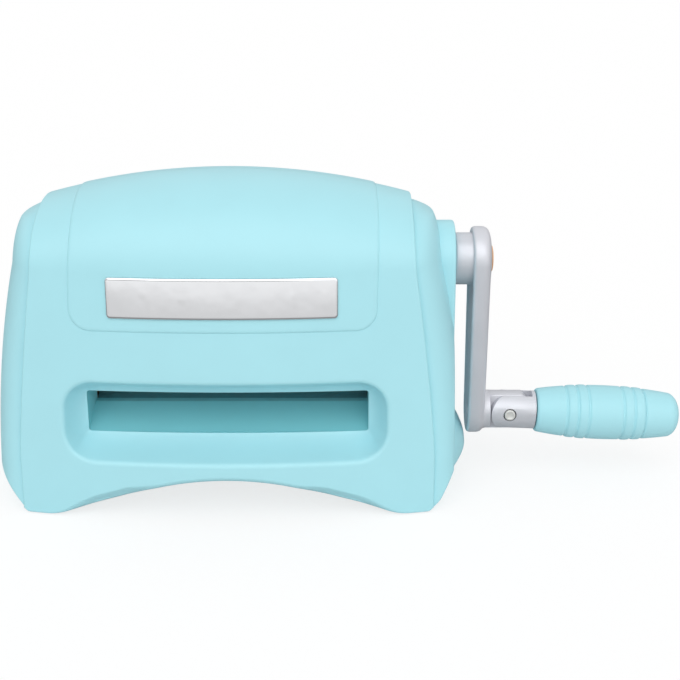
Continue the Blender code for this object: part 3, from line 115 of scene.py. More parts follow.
# The raised panel, whose left side waists in and right side swells out
PANEL_HALF = 80.6
PANEL_BOTTOM = 104.4
PANEL_CORNER = 11.0
PANEL_RAISE = 0.8
PANEL_RIM = 2.3
PANEL_WAIST = 1.4
PANEL_SWELL = 0.7
PANEL_BOW_POWER = 1.5
PANEL_TOP_GAP = 0.05
# Pairs of a way outwards and a share of the raise
PANEL_PROFILE = ((-1.7, 0.98), (-1.15, 0.92), (-0.7, 0.8), (-0.3, 0.56), (0.0, 0.22), (0.22, -0.2),
                 (0.4, -0.8))

# End caps: how far they lie under the covers, and their plan, side and crown
END_STEP = 3.5
END_STEP_LESS = 2.4
END_TUCK = 8.0
END_LEAD = 5.0
END_LEAD_MOST = 0.98
END_FLARE_X = 130.8
END_FLARE_START = 10.0
END_FLARE_POWER = 2.2
END_SIDE_DOME_X = 117.2
END_LEAN = 0.12
END_PLAN_POWER = 2.45
END_PLAN_SQUARER = 0.6
END_CROWN_POWER = 3.4
END_CROWN_SLOPE = 0.5
END_CROWN_SOFT = 1.5
END_SLANT_SOFT = 0.5
# The left cap's slant is steeper by this factor
LEFT_SLANT = 0.74

# The right end cap's boss, the flat that leans in below it, and the bulge over its foot
BOSS_RADIUS = 21.5
BOSS_FACE_X = 124.0
BOSS_ROOT_X = 102.1
BOSS_BOTTOM = 72.0
BOSS_ROUND = 1.6
BOSS_HOLE_GAP = 0.6
BOSS_HOLE_DEPTH = 6.0
BOSS_PROUD = 0.02
FLAT_FOOT_X = 113.3
FLAT_FOOT_SLOPE = 0.535
FLAT_FOOT_SOFT = 0.8
BULGE_RADIUS = 24.6
BULGE_RISE = 9.6
BULGE_Z = 20.0
BULGE_OVER_SLANT = 3.5
BULGE_SOFT = 2.0

# Name plate
PLATE_HALF = 60.0
PLATE_BOTTOM = 111.8
PLATE_TOP = 133.4
PLATE_THICKNESS = 1.0
PLATE_CORNER = 2.0
PLATE_CORNER_LEAST = 0.2
PLATE_GAP = 0.3
# Pairs of drawn in and below the face
PLATE_PROFILE = ((0.0, PLATE_THICKNESS), (0.0, 0.6), (0.08, 0.46), (0.24, 0.3), (0.45, 0.17),
                 (0.7, 0.08), (1.0, 0.03), (1.4, 0.005), (2.0, 0.0))

# Crank: the arm's outer face swells round the axis, where the orange cap sits
CRANK_Z = 129.7
SHAFT_RADIUS = 5.0
ARM_INNER_X = 134.0
ARM_OUTER_X = 145.0
ARM_FACE_X = 143.8
ARM_LENGTH = 89.7
ARM_TOP_RADIUS = 18.0
ARM_FOOT_RADIUS = 13.5
ARM_CHANNEL_X = 142.0
ARM_MIDDLE = 13.2
SWELL_RADIUS = 6.0
SWELL_SPREAD = 11.0
CAP_SEAT = 0.05
CAP_RADIUS = 7.2
CAP_RIM = 0.45
CAP_RISE = 0.75
# Pairs of radius and way out: the cap's stem and its rounded rim
CAP_PROFILE = ((5.7, -1.2), (5.7, 0.0), (6.9, 0.0), (7.15, 0.2), (CAP_RADIUS, CAP_RIM))
# Pairs of drawn in and X: the channel, its rim, the outer edge and the face
ARM_PROFILE = ((ARM_MIDDLE, ARM_CHANNEL_X), (4.2, ARM_CHANNEL_X), (4.0, 136.6), (3.6, 134.5),
               (3.0, ARM_INNER_X), (1.4, ARM_INNER_X), (0.8, 134.2), (0.3, 134.8), (0.0, 135.8),
               (0.0, 139.6), (0.2, 140.9), (0.75, 142.1), (1.6, 143.0), (2.8, 143.55),
               (4.2, ARM_FACE_X), (6.0, ARM_FACE_X), (8.0, ARM_FACE_X), (10.0, ARM_FACE_X),
               (12.0, ARM_FACE_X), (ARM_MIDDLE, ARM_FACE_X))
# The first ring that swells
ARM_FACE_RING = 10
# Pairs of radius and X: the hub behind the arm, and the knuckle at its foot
HUB_PROFILE = ((5.6, 130.0), (5.6, 124.6), (13.85, 124.6), (14.3, 124.8), (14.5, 125.3),
               (14.5, 141.9))
KNUCKLE_PROFILE = ((0.2, 144.0), (11.6, 143.0), (11.2, 144.3), (11.0, 145.4), (11.0, 147.0),
                   (10.6, 147.3), (9.0, 147.4), (0.2, 147.4))

# The radius of a turned shape's end on its axis
TIP_RADIUS = 0.01

# Tongue, pin and fork
PIN_X = 158.3
PIN_Z = CRANK_Z - ARM_LENGTH
TONGUE_HALF = 4.7
TONGUE_REACH = 12.6
TONGUE_TALL = 10.2
TONGUE_ROOT = 11.5
# Pairs of a way in from the tongue's side and drawn in
TONGUE_EASE = ((0.0, 6.0), (0.0, 0.8), (0.2, 0.25), (0.8, 0.0))
PIN_TIP = 11.35
# Pairs of radius and below the tip
PIN_PROFILE = ((TIP_RADIUS, 0.2), (1.7, 0.2), (2.0, 0.07), (2.3, 0.0), (2.75, 0.05), (2.95, 0.16),
               (3.05, 0.4), (3.1, 0.7))
FORK_HOLE = 3.75
FORK_RADIUS = 11.0
FORK_BACK = 10.5
FORK_FRONT = 15.0
FORK_CHEEK = 7.5
FORK_GAP_HALF = 5.0
FORK_GAP_END = 13.1
# How far from the pin the cutting shapes reach, clear of the fork
COLLAR_CLEAR = 14.0
CUT_CLEAR = 20.0
# The fork's eased edges: their width in metres, and how many degrees an edge turns at least
FORK_EASE = 0.00035
FORK_EASE_ANGLE = 40

# Grip, by the way along it from the pin
GRIP_DROOP = math.radians(2.3)
GRIP_START = 15.6
GRIP_START_RADIUS = 12.4
GRIP_BELLY = 53.7
GRIP_BELLY_RADIUS = 15.65
GRIP_END = 98.7
GRIP_END_RADIUS = 11.6
GRIP_NOSE = 7.0
NOSE_FULL = 0.8
NOSE_LONG = 1.1
GRIP_BORE = 6.0
GRIP_SPLIT = 77.2
SPLIT_HALF = 0.06
GRIP_STATION = 0.22
GROOVES = (32.5, 38.7, 44.9, 64.8, 71.0, GRIP_SPLIT)
GROOVE_HALF = 1.1
GROOVE_DEPTH = 0.62
BAND_RISE = 0.28
GRIP_RIM_END = GRIP_START + 1.2
# Pairs of radius and along: the mouth of the bore and the rounded rim round it
GRIP_MOUTH = ((8.4, GRIP_START + 3), (8.4, GRIP_START + 0.2), (8.8, GRIP_START),
              (GRIP_START_RADIUS - 1.1, GRIP_START), (GRIP_START_RADIUS - 0.6, GRIP_START + 0.12),
              (GRIP_START_RADIUS - 0.2, GRIP_START + 0.45), (GRIP_START_RADIUS, GRIP_START + 0.85))

# From the casing's middle to the frame's origin, which is under the middle of the whole part
CASING_BASE_X = 131.0
SHIFT_X = (CASING_BASE_X - PIN_X - GRIP_END * math.cos(GRIP_DROOP)) / 2
SHIFT_Z = 0.6

# Edges that turn by more than this many degrees stay sharp
COVER_CREASE = 70
END_CREASE = 60
TRIM_CREASE = 50
FORK_CREASE = 35

# How finely the meshes are divided
LOW_POINTS = 200
SIDE_POINTS = 110
FLARE_STEPS = 15
LIP_STEPS = 8
EDGE_STEPS = 6
SMOOTH_PASSES = 4
FACE_RINGS = 60
PANEL_ROWS = 70
PANEL_COLUMNS = 91
END_TURN_STEPS = 144
ARM_STEPS = 40
TURN_STEPS = 96


def to_world(points):
    """Millimetres about the casing's middle to metres in the frame."""
    return (np.asarray(points, float) + (SHIFT_X, 0, SHIFT_Z)) / 1000


# Soft joins
def soft_max(a, b, size):
    """The larger of two values, with the corner between them rounded over a size."""
    mix = np.clip(0.5 + 0.5 * (a - b) / size, 0, 1)
    return b + (a - b) * mix + size * mix * (1 - mix)


def soft_min(a, b, size):
    return -soft_max(-a, -b, size)


def soft_step(value, start, end):
    """0 up to the start, 1 from the end, and a soft step between."""
    share = np.clip((value - start) / (end - start), 0, 1)
    return share ** 2 * (3 - 2 * share)


# Surfaces of the casing
def seam_half_width(run):
    """Where the cover ends."""
    climb = np.clip((run - SEAM_FLARE_END) / (DOME_BASE - SEAM_FLARE_END), 0, 1)
    over = np.clip((run - DOME_BASE) / DOME_RUN, 0, 1)
    drawn_in = SEAM_CROWN * (1 - (1 - over) ** 3)
    return SEAM_BASE_X - (SEAM_BASE_X - SEAM_TOP_X) * climb ** SEAM_FLARE_POWER - drawn_in


def half_depth(x, z):
    up = np.minimum(z, DOME_BASE) / DOME_BASE
    bulge = np.sqrt(PLAN_RADIUS ** 2 - x ** 2) - math.sqrt(PLAN_RADIUS ** 2 - PLAN_REACH ** 2)
    return DEPTH_AT_BASE + (DEPTH_AT_DOME - DEPTH_AT_BASE) * up + bulge


def crest_height(x):
    return BODY_TOP - CREST_RADIUS + np.sqrt(CREST_RADIUS ** 2 - x ** 2)


def face_point(x, run, raised=0.0):
    """Points of the front cover, raised over it by an amount."""
    x = np.asarray(x, float)
    run = np.asarray(run, float)
    turn = np.clip((run - DOME_BASE) / DOME_RUN, 0, CREST_SHARE) * math.pi / 2
    depth = half_depth(x, np.minimum(run, DOME_BASE)) + raised
    rise = crest_height(x) + raised - DOME_BASE
    y = -depth * np.cos(turn)
    z = np.where(run < DOME_BASE, run, DOME_BASE + rise * np.sin(turn))
    return np.stack([x, y, z], axis=-1)


def face_normal(x, run):
    step = 0.05
    across = face_point(x + step, run) - face_point(x - step, run)
    up = face_point(x, run + step) - face_point(x, run - step)
    normal = np.cross(across, up)
    return normal / np.linalg.norm(normal, axis=-1, keepdims=True)


def arch_height(x):
    """The lower edge of the cover, with its slanted corners."""
    x = np.abs(x)
    centre = ARCH_TOP - ARCH_RADIUS
    arc = centre + np.sqrt(ARCH_RADIUS ** 2 - np.minimum(x, ARCH_ROUND_HALF) ** 2)
    shoulder = centre + math.sqrt(ARCH_RADIUS ** 2 - ARCH_ROUND_HALF ** 2)
    line = shoulder * (FOOT_INNER_X - x) / (FOOT_INNER_X - ARCH_ROUND_HALF)
    slant = (x - FOOT_OUTER_X) * CORNER_Z / (CORNER_X - FOOT_OUTER_X)
    arch = soft_max(np.where(x < ARCH_ROUND_HALF, arc, line), 0 * x, ARCH_SOFT)
    return soft_max(arch, slant, CORNER_SOFT)


# Meshes
def mesh_piece(name, points, faces, material, body, crease):
    return finish_piece(name, raw_mesh(name, points, faces), material, body, crease)


def raw_mesh(name, points, faces):
    mesh = bpy.data.meshes.new(name)
    mesh.from_pydata([tuple(point) for point in to_world(points)], [], faces)
    return mesh


def finish_piece(name, mesh, material, body, crease):
    bm = bmesh.new()
    bm.from_mesh(mesh)
    bmesh.ops.remove_doubles(bm, verts=bm.verts, dist=1e-6)
    bmesh.ops.dissolve_degenerate(bm, edges=bm.edges, dist=1e-7)
    bmesh.ops.recalc_face_normals(bm, faces=bm.faces)
    for face in bm.faces:
        face.smooth = True
    limit = math.radians(crease)
    for edge in bm.edges:
        edge.smooth = len(edge.link_faces) != 2 or edge.calc_face_angle(0) < limit
    bm.to_mesh(mesh)
    bm.free()
    mesh.materials.append(material)
    obj = bpy.data.objects.new(name, mesh)
    bpy.context.scene.collection.objects.link(obj)
    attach(obj, body)
    return obj


def grid_faces(rows, columns, closed):
    """Quads between rows of points that follow each other."""
    faces = []
    for row in range(rows - 1):
        low = row * columns
        high = low + columns
        for column in range(columns if closed else columns - 1):
            after = (column + 1) % columns
            faces.append((low + column, low + after, high + after, high + column))
    return faces


def strip(rings, closed=True):
    """Points and faces of rings that all have the same number of points."""
    return np.concatenate(rings), grid_faces(len(rings), len(rings[0]), closed)


def cap_face(start, count):
    """One face over a whole ring."""
    return tuple(range(start, start + count))


def at_x(x, spots):
    """Points with one X, from (Y, Z) pairs."""
    return np.column_stack([np.full(len(spots), x), spots])


def bezier(first, corner, last, steps):
    """Rings along a rounded edge, from its first line to its last, without the first."""
    rings = []
    for step in range(1, steps + 1):
        t = step / steps
        rings.append((1 - t) ** 2 * first + 2 * t * (1 - t) * corner + t ** 2 * last)
    return rings


def gather(parts):
    """One mesh of several, each given as points and faces."""
    points = []
    faces = []
    start = 0
    for some, those in parts:
        points.append(some)
        faces += [tuple(index + start for index in face) for face in those]
        start += len(some)
    return np.concatenate(points), faces


def turned_part(profile, axis, steps=TURN_STEPS):
    """Points and faces turned about a line along X through (Y, Z), from (radius, X) pairs."""
    turn = np.linspace(0, 2 * math.pi, steps, endpoint=False)
    rings = [at_x(x, np.column_stack([axis[0] + radius * np.cos(turn),
                                      axis[1] + radius * np.sin(turn)])) for radius, x in profile]
    return strip(rings)


# Covers
def slot_loop(half, low, high, corner):
    """A rounded box in X and height, cut into four sides at its corners' middles."""
    half_height = (high - low) / 2
    quarter = np.linspace(0, math.pi / 4, 13)
    sides = []
    for reach, away, count, cos, sin in ((half, half_height, LOW_POINTS, 1, 0),
                                         (half_height, half, SIDE_POINTS, 0, 1),
                                         (half, half_height, LOW_POINTS, -1, 0),
                                         (half_height, half, SIDE_POINTS, 0, -1)):
        start = [(-(reach - corner) - corner * math.sin(math.pi / 4 - a),
                  -(away - corner) - corner * math.cos(math.pi / 4 - a)) for a in quarter]
        line = np.array(start + [(-x, y) for x, y in reversed(start)])
        run = np.concatenate([[0], np.cumsum(np.linalg.norm(np.diff(line, axis=0), axis=1))])
        wanted = np.linspace(0, run[-1], count, endpoint=False)
        x = np.interp(wanted, run, line[:, 0])
        y = np.interp(wanted, run, line[:, 1])
        sides.append(np.stack([cos * x - sin * y, sin * x + cos * y + (low + high) / 2], axis=-1))
    return np.concatenate(sides)


def slot_outline(share, grow=0.0):
    """X and height of the flared slot's outline: 0 at the throat, 1 at the cover's face."""
    half = THROAT_HALF + (SLOT_HALF - THROAT_HALF) * share + grow
    low = THROAT_BOTTOM + (SLOT_BOTTOM - THROAT_BOTTOM) * share - grow
    high = THROAT_TOP + (SLOT_TOP - THROAT_TOP) * share + grow
    corner = THROAT_CORNER + (SLOT_CORNER - THROAT_CORNER) * share + grow
    return slot_loop(half, low, high, corner)


def arch_share(x):
    """1 along the arch and its slopes, and 0 at the feet."""
    return 1 - soft_step(np.abs(x), *SLOPE_ENDS)


def slope_share(x):
    """1 on the arch's slopes only."""
    return soft_step(np.abs(x), *SLOPE_BEGINS) * arch_share(x)


def flat_share(x):
    """How flat the rounding of the lower edge is: most on the arch's slopes, none at the feet."""
    return LOW_FLAT_ARCH * arch_share(x) + LOW_FLAT_SLOPE * slope_share(x)


def low_round(x):
    """How far the lower edge is rounded: most on the arch's slopes, least at the feet."""
    return FOOT_ROUND + ARCH_ROUND_MORE * arch_share(x) + SLOPE_ROUND_MORE * slope_share(x)


def cover_edge(seam_in, low_share, crest_in):
    """X and run of the cover's edge, drawn in by the given amounts, matched to the slot's loop."""
    low = np.linspace(0, 1, LOW_POINTS, endpoint=False)
    up = np.linspace(0, 1, SIDE_POINTS, endpoint=False)
    base_half = SEAM_BASE_X - seam_in
    x = -base_half + 2 * base_half * low
    bottom = np.stack([x, arch_height(x) + low_share * low_round(x)], axis=-1)
    start = float(arch_height(base_half) + low_share * low_round(base_half))
    top = TOP_RUN - crest_in
    run = start + (top - start) * up
    right = np.stack([seam_half_width(run) - seam_in, run], axis=-1)
    top_half = float(seam_half_width(TOP_RUN)) - seam_in
    crest = np.stack([top_half - 2 * top_half * low, np.full(LOW_POINTS, top)], axis=-1)
    run = top + (start - top) * up
    left = np.stack([seam_in - seam_half_width(run), run], axis=-1)
    return np.concatenate([bottom, right, crest, left])


def on_face(outline):
    return face_point(outline[:, 0], outline[:, 1])


def sunk_ring(outline, depth):
    """Points of an outline, each sunk below the face by its own depth."""
    return on_face(outline) - face_normal(outline[:, 0], outline[:, 1]) * depth[:, None]


def throat_at(outline, depth):
    """The throat's opening, bent like the face in front of it."""
    bend = THROAT_BOW * np.maximum(1 - (outline[:, 0] / THROAT_HALF) ** 2, 0)
    return np.stack([outline[:, 0], depth - THROAT_Y - bend, outline[:, 1]], axis=-1)


def slot_rings():
    """The slot from a flange behind its throat to its rounded lip, and the lip's outline."""
    throat_ring = throat_at(slot_outline(0), 0)
    behind = slot_outline(0, FLANGE_GROW)
    flange = np.stack([behind[:, 0], np.full(len(behind), FLANGE_BACK - THROAT_Y), behind[:, 1]],
                      axis=-1)
    face_ring = on_face(slot_outline(1))
    dish = (throat_ring + face_ring) / 2 + (0, 2 * FLARE_BOW, 0)
    away = dish - face_ring
    lip_in = face_ring + away / np.linalg.norm(away, axis=1, keepdims=True) * LIP_ROUND
    lip_line = slot_outline(1, LIP_ROUND * LIP_GROW)
    rings = [flange, throat_at(behind, THROAT_EASE), throat_ring]
    rings += bezier(throat_ring, dish, lip_in, FLARE_STEPS)
    rings += bezier(lip_in, face_ring, on_face(lip_line), LIP_STEPS)
    return rings, lip_line


def edge_rings(last_ring):
    """The cover's rounded edge after the last ring of its face, and a flange behind it."""
    line = cover_edge(0, 0, CREST_GAP)
    low_x = line[:LOW_POINTS, 0]
    depth = np.full(len(line), SEAM_ROUND)
    depth[:LOW_POINTS] = low_round(low_x) * LOW_ROUND_DEPTH
    depth[LOW_POINTS + SIDE_POINTS:2 * LOW_POINTS + SIDE_POINTS] = CREST_ROUND
    depth = smooth_ring(depth)
    sunk = sunk_ring(line, depth)
    corner = on_face(line)
    flatter = ((last_ring + sunk) / 2 - corner)[:LOW_POINTS]
    corner[:LOW_POINTS] += flatter * flat_share(low_x)[:, None]
    flange = sunk_ring(line, np.maximum(depth, EDGE_DEPTH))
    return bezier(last_ring, corner, sunk, EDGE_STEPS) + [flange]


def smooth_ring(values):
    for _ in range(SMOOTH_PASSES):
        values = (np.roll(values, 1) + 2 * values + np.roll(values, -1)) / 4
    return values


def make_cover(name, turned, material):
    rings, lip_line = slot_rings()
    edge_line = cover_edge(SEAM_ROUND, 1, CREST_IN)
    for share in np.arange(1, FACE_RINGS + 1) / FACE_RINGS:
        rings.append(on_face(lip_line + (edge_line - lip_line) * share))
    rings += edge_rings(rings[-1])
    points, faces = gather([strip(rings), panel_sheet()])
    if turned:
        points = points * (-1, -1, 1)
    cover = mesh_piece(f"{name}_dressed", points, faces, material, "machine", COVER_CREASE)
    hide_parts(name)
    return cover


def panel_sheet():
    """The raised panel: its own sheet, whose edge rolls down into the cover."""
    top = TOP_RUN - PANEL_TOP_GAP
    straight = PANEL_HALF - PANEL_CORNER
    side_foot = PANEL_BOTTOM + PANEL_CORNER
    shares = np.linspace(0, 1, PANEL_ROWS)
    bow = np.sin(math.pi * shares) ** PANEL_BOW_POWER
    side = PANEL_ROWS - 1

    # The outline in X and run: down the left side, along the foot and up the right side
    arc = np.radians(np.linspace(-90, 0, 25))
    right = np.stack([straight + PANEL_CORNER * np.cos(arc),
                      side_foot + PANEL_CORNER * np.sin(arc)], axis=-1)
    middle = np.stack([np.linspace(-straight, straight, PANEL_COLUMNS),
                       np.full(PANEL_COLUMNS, PANEL_BOTTOM)], axis=-1)
    left = right[::-1] * (-1, 1)
    foot = np.concatenate([left[:-1], middle, right[1:]])
    side_run = side_foot + (top - side_foot) * shares[1:]
    left_side = np.stack([PANEL_WAIST * bow[1:] - PANEL_HALF, side_run], axis=-1)[::-1]
    right_side = np.stack([PANEL_SWELL * bow[1:] + PANEL_HALF, side_run], axis=-1)
    line = np.concatenate([left_side, foot, right_side])

    # The way outwards at each point of the outline
    out = np.zeros_like(line)
    out[:side] = (-1, 0)
    out[-side:] = (1, 0)
    past = foot[:, 0] - np.clip(foot[:, 0], -straight, straight)
    lean = np.clip(past / PANEL_CORNER, -1, 1)
    out[side:-side, 0] = lean
    out[side:-side, 1] = -np.sqrt(1 - lean ** 2)

    # The flat of the panel, inside its rim
    rim_start = line - out * PANEL_RIM
    inner_foot = rim_start[side:-side]
    bowed = np.where(inner_foot[:, 0] < 0, -PANEL_WAIST, PANEL_SWELL) / PANEL_HALF
    rows = []
    for share, out_share in zip(shares, bow):
        run = inner_foot[:, 1] + (top - inner_foot[:, 1]) * share
        rows.append(face_point(inner_foot[:, 0] * (1 + bowed * out_share), run, PANEL_RAISE))

    # The rim, from the flat's own edge down below the cover's face
    inner = face_point(rim_start[:, 0], rim_start[:, 1], PANEL_RAISE)
    for row in range(1, PANEL_ROWS):
        inner[side - row] = rows[row][0]
        inner[row - PANEL_ROWS] = rows[row][-1]
    rings = [inner]
    for outwards, raise_share in PANEL_PROFILE:
        spot = line + out * outwards
        rings.append(face_point(spot[:, 0], spot[:, 1], PANEL_RAISE * raise_share))
    return gather([strip(rows, False), strip(rings, False)])


# End caps
CROWN_RISE = float(crest_height(SEAM_TOP_X)) - END_STEP - DOME_BASE


def end_side(z):
    """How far an end cap reaches at a height."""
    if z <= DOME_BASE:
        climb = max(z - END_FLARE_START, 0) / (DOME_BASE - END_FLARE_START)
        return END_FLARE_X - (END_FLARE_X - END_SIDE_DOME_X) * climb ** END_FLARE_POWER
    climb = (z - DOME_BASE) / CROWN_RISE
    round_off = max(1 - climb ** END_CROWN_POWER, 0) ** (1 / END_CROWN_POWER)
    reach = END_SIDE_DOME_X - SEAM_TOP_X - END_LEAN * (z - DOME_BASE)
    side = SEAM_TOP_X + reach * round_off
    sloping = SEAM_TOP_X + CROWN_RISE * (1 - climb) / END_CROWN_SLOPE
    return float(soft_min(side, sloping, END_CROWN_SOFT))


def end_row(z, turn_up, crank_side):
    """Half loop of an end cap at a height, from the front seam round to the rear one.

    turn_up is 0 up to the dome, and then grows to a right angle at the crown.
    """
    run = z if turn_up == 0 else DOME_BASE + DOME_RUN * turn_up / (math.pi / 2)
    seam = float(seam_half_width(run))
    centre = seam - END_LEAD
    reach = max(end_side(z) - centre, END_LEAD / 2)
    down = max(1 - z / DOME_BASE, 0)
    power = END_PLAN_POWER + END_PLAN_SQUARER * down
    lead = min(END_LEAD / reach, END_LEAD_MOST) ** power
    depth = float(half_depth(seam, z)) - END_STEP + END_STEP_LESS * down ** 2
    depth = depth * math.cos(turn_up) / (1 - lead) ** (1 / power)
    turn = np.linspace(-math.pi / 2, math.pi / 2, END_TURN_STEPS + 1)
    x = centre + reach * np.cos(turn) ** (2 / power)
    y = depth * np.sign(np.sin(turn)) * np.abs(np.sin(turn)) ** (2 / power)
    x = np.concatenate([[seam - END_TUCK], x, [seam - END_TUCK]])
    y = np.concatenate([[-depth], y, [depth]])
    widening = (CORNER_X - FOOT_OUTER_X) / CORNER_Z * (1 if crank_side else LEFT_SLANT)
    slant = FOOT_OUTER_X + z * widening
    x = soft_min(x, slant, END_SLANT_SOFT)
    if crank_side:
        flat = min(BOSS_FACE_X, FLAT_FOOT_X + FLAT_FOOT_SLOPE * z)
        away = np.hypot(y, z - BULGE_Z) / BULGE_RADIUS
        bulge = BOSS_FACE_X + BULGE_RISE * (1 - away ** 2)
        bulge = soft_min(bulge, slant + BULGE_OVER_SLANT, BULGE_SOFT)
        x = soft_max(soft_min(x, flat, FLAT_FOOT_SOFT), bulge, FLAT_FOOT_SOFT)
    return np.stack([x, y, np.full_like(x, z)], axis=-1)


def make_end_cap(name, crank_side, material):
    rows = []
    # Rows 1 mm apart over the slant and the bulge, and wider ones above them
    for z in np.concatenate([np.linspace(0, 60, 61), np.linspace(61, DOME_BASE, 50)]):
        rows.append(end_row(z, 0, crank_side))
    for turn in np.radians(np.linspace(0, 89.5, 46)[1:]):
        rows.append(end_row(DOME_BASE + CROWN_RISE * math.sin(turn), turn, crank_side))
    points, faces = strip(rows, False)
    if crank_side:
        points, faces = gather([(points, faces), boss_sheet()])
    else:
        points = points * (-1, 1, 1)
    cap = mesh_piece(f"{name}_dressed", points, faces, material, "machine", END_CREASE)
    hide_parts(name)
    return cap


def boss_sheet():
    """The pad round the crank shaft: its bore, face, rounded rim and wall down to the cap."""
    upright = np.linspace(BOSS_BOTTOM, CRANK_Z, 30)
    line = [(BOSS_RADIUS, z) for z in upright[:-1]]
    line += [(BOSS_RADIUS * math.cos(a), CRANK_Z + BOSS_RADIUS * math.sin(a))
             for a in np.linspace(0, math.pi, 64)]
    line += [(-BOSS_RADIUS, z) for z in upright[::-1][1:]]
    line += [(y, BOSS_BOTTOM) for y in np.linspace(-BOSS_RADIUS, BOSS_RADIUS, 24)[1:-1]]
    line = np.array(line)
    middle = np.array([0, CRANK_Z])
    away = line - middle
    length = np.linalg.norm(away, axis=1, keepdims=True)
    hole = middle + away / length * (SHAFT_RADIUS + BOSS_HOLE_GAP)
    rim = middle + away * (1 - BOSS_ROUND / length)
    face_x = BOSS_FACE_X + BOSS_PROUD
    rings = [at_x(face_x - BOSS_HOLE_DEPTH, hole)]
    rings += [at_x(face_x, hole + (rim - hole) * share) for share in np.linspace(0, 1, 8)]
    sunk = at_x(face_x - BOSS_ROUND, line)
    rings += bezier(rings[-1], at_x(face_x, line), sunk, EDGE_STEPS)
    rings.append(at_x(BOSS_ROOT_X, line))
    return strip(rings)


# Name plate: a thin bright plate bent to the panel, with a rounded rim
def make_name_plate(material):
    face = PANEL_RAISE + PLATE_GAP + PLATE_THICKNESS
    rings = []
    for inset, below in PLATE_PROFILE:
        corner = max(PLATE_CORNER - inset, PLATE_CORNER_LEAST)
        line = box_line(PLATE_HALF - inset, PLATE_BOTTOM + inset, PLATE_TOP - inset, corner)
        rings.append(face_point(line[:, 0], line[:, 1], face - below))
    rim = rings[-1]
    middle_z = (PLATE_BOTTOM + PLATE_TOP) / 2
    for share in (0.75, 0.5, 0.25, 0.0):
        rings.append(face_point(rim[:, 0], middle_z + (rim[:, 2] - middle_z) * share, face))
    points, faces = strip(rings)
    plate = mesh_piece("name_plate_dressed", points, faces, material, "machine", TRIM_CREASE)
    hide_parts("name_plate")
    return plate


def box_line(half, low, high, corner):
    """A closed rounded box in X and height, starting at its lower right corner."""
    reach = half - corner
    points = []
    for x, z, start in ((reach, low + corner, -90), (reach, high - corner, 0),
                        (-reach, high - corner, 90), (-reach, low + corner, 180)):
        for turn in np.radians(np.linspace(start, start + 90, 7)):
            points.append((x + corner * math.cos(turn), z + corner * math.sin(turn)))
        if start in (0, 180):
            level = high if start == 0 else low
            points += [(across, level) for across in np.linspace(x, -x, 60)[1:-1]]
    return np.array(points)


# Crank arm: two arcs joined by straight sides, in rings with an X each
def arm_ring(inset, x):
    top = ARM_TOP_RADIUS - inset
    foot = ARM_FOOT_RADIUS - inset
    lean = math.asin((top - foot) / ARM_LENGTH)
    upper = np.linspace(-lean, math.pi + lean, ARM_STEPS)
    lower = np.linspace(math.pi + lean, 2 * math.pi - lean, ARM_STEPS)
    head = [(x, top * math.cos(a), CRANK_Z + top * math.sin(a)) for a in upper]
    toe = [(x, foot * math.cos(a), PIN_Z + foot * math.sin(a)) for a in lower]
    return np.array(head + between(head[-1], toe[0]) + toe + between(toe[-1], head[0]))


def between(first, last):
    """The points between two ends of a straight side."""
    shares = np.linspace(0, 1, 24)[1:-1]
    return [tuple(a + (b - a) * share for a, b in zip(first, last)) for share in shares]


def zip_faces(start, count):
    """Fill the last arm ring with faces that run straight across it."""
    faces = []
    for near in range(ARM_STEPS // 2, (count + ARM_STEPS) // 2 - 1):
        far = ARM_STEPS - 1 - near
        line = (near, near + 1, (far - 1) % count, far % count)
        faces.append(tuple(start + point for point in line))
    return faces


def hub_swell(ring):
    """Lift the arm's outer face round the crank's axis, where the cap sits."""
    away = np.hypot(ring[:, 1], ring[:, 2] - CRANK_Z)
    fall = np.clip((away - SWELL_RADIUS) / SWELL_SPREAD, 0, 1)
    lift = (ARM_OUTER_X - ARM_FACE_X) * 0.5 * (1 + np.cos(fall * math.pi))
    return ring + lift[:, None] * (1, 0, 0)


def make_crank_arm(material):
    rings = [arm_ring(inset, x) for inset, x in ARM_PROFILE]
    rings = rings[:ARM_FACE_RING] + [hub_swell(ring) for ring in rings[ARM_FACE_RING:]]
    points, faces = strip(rings)
    count = len(rings[0])
    faces.append(cap_face(0, count))
    faces += zip_faces(len(points) - count, count)
    hub = turned_part(HUB_PROFILE, (0, CRANK_Z))
    knuckle = turned_part(KNUCKLE_PROFILE, (0, PIN_Z))
    points, faces = gather([(points, faces), hub, knuckle, tongue_part()])
    arm = mesh_piece("crank_arm_dressed", points, faces, material, "crank", TRIM_CREASE)
    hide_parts("crank_arm")
    return arm


def tongue_part():
    """The tongue on the arm's foot: round above, square below, its edges eased."""
    reach, tall, root = TONGUE_REACH, TONGUE_TALL, -TONGUE_ROOT
    start = math.asin(tall / reach)
    line = [(root, -tall), (reach - 0.8, -tall), (reach - 0.2, -tall + 0.2), (reach, -tall + 0.8)]
    line += [(reach * math.cos(a), reach * math.sin(a)) for a in np.linspace(0, start, 16)]
    line += [(x, tall) for x in np.linspace(reach * math.cos(start) - 1, root, 6)]
    line = np.array(line)
    length = np.linalg.norm(line, axis=1, keepdims=True)
    near = [(ease_in - TONGUE_HALF, inset) for ease_in, inset in TONGUE_EASE]
    rings = []
    for y, inset in near + [(-y, inset) for y, inset in reversed(near)]:
        x, z = (line * (1 - inset / length)).T
        rings.append(np.column_stack([PIN_X + x, np.full(len(line), y), PIN_Z + z]))
    points, faces = strip(rings)
    count = len(line)
    return points, faces + [cap_face(0, count), cap_face(len(points) - count, count)]


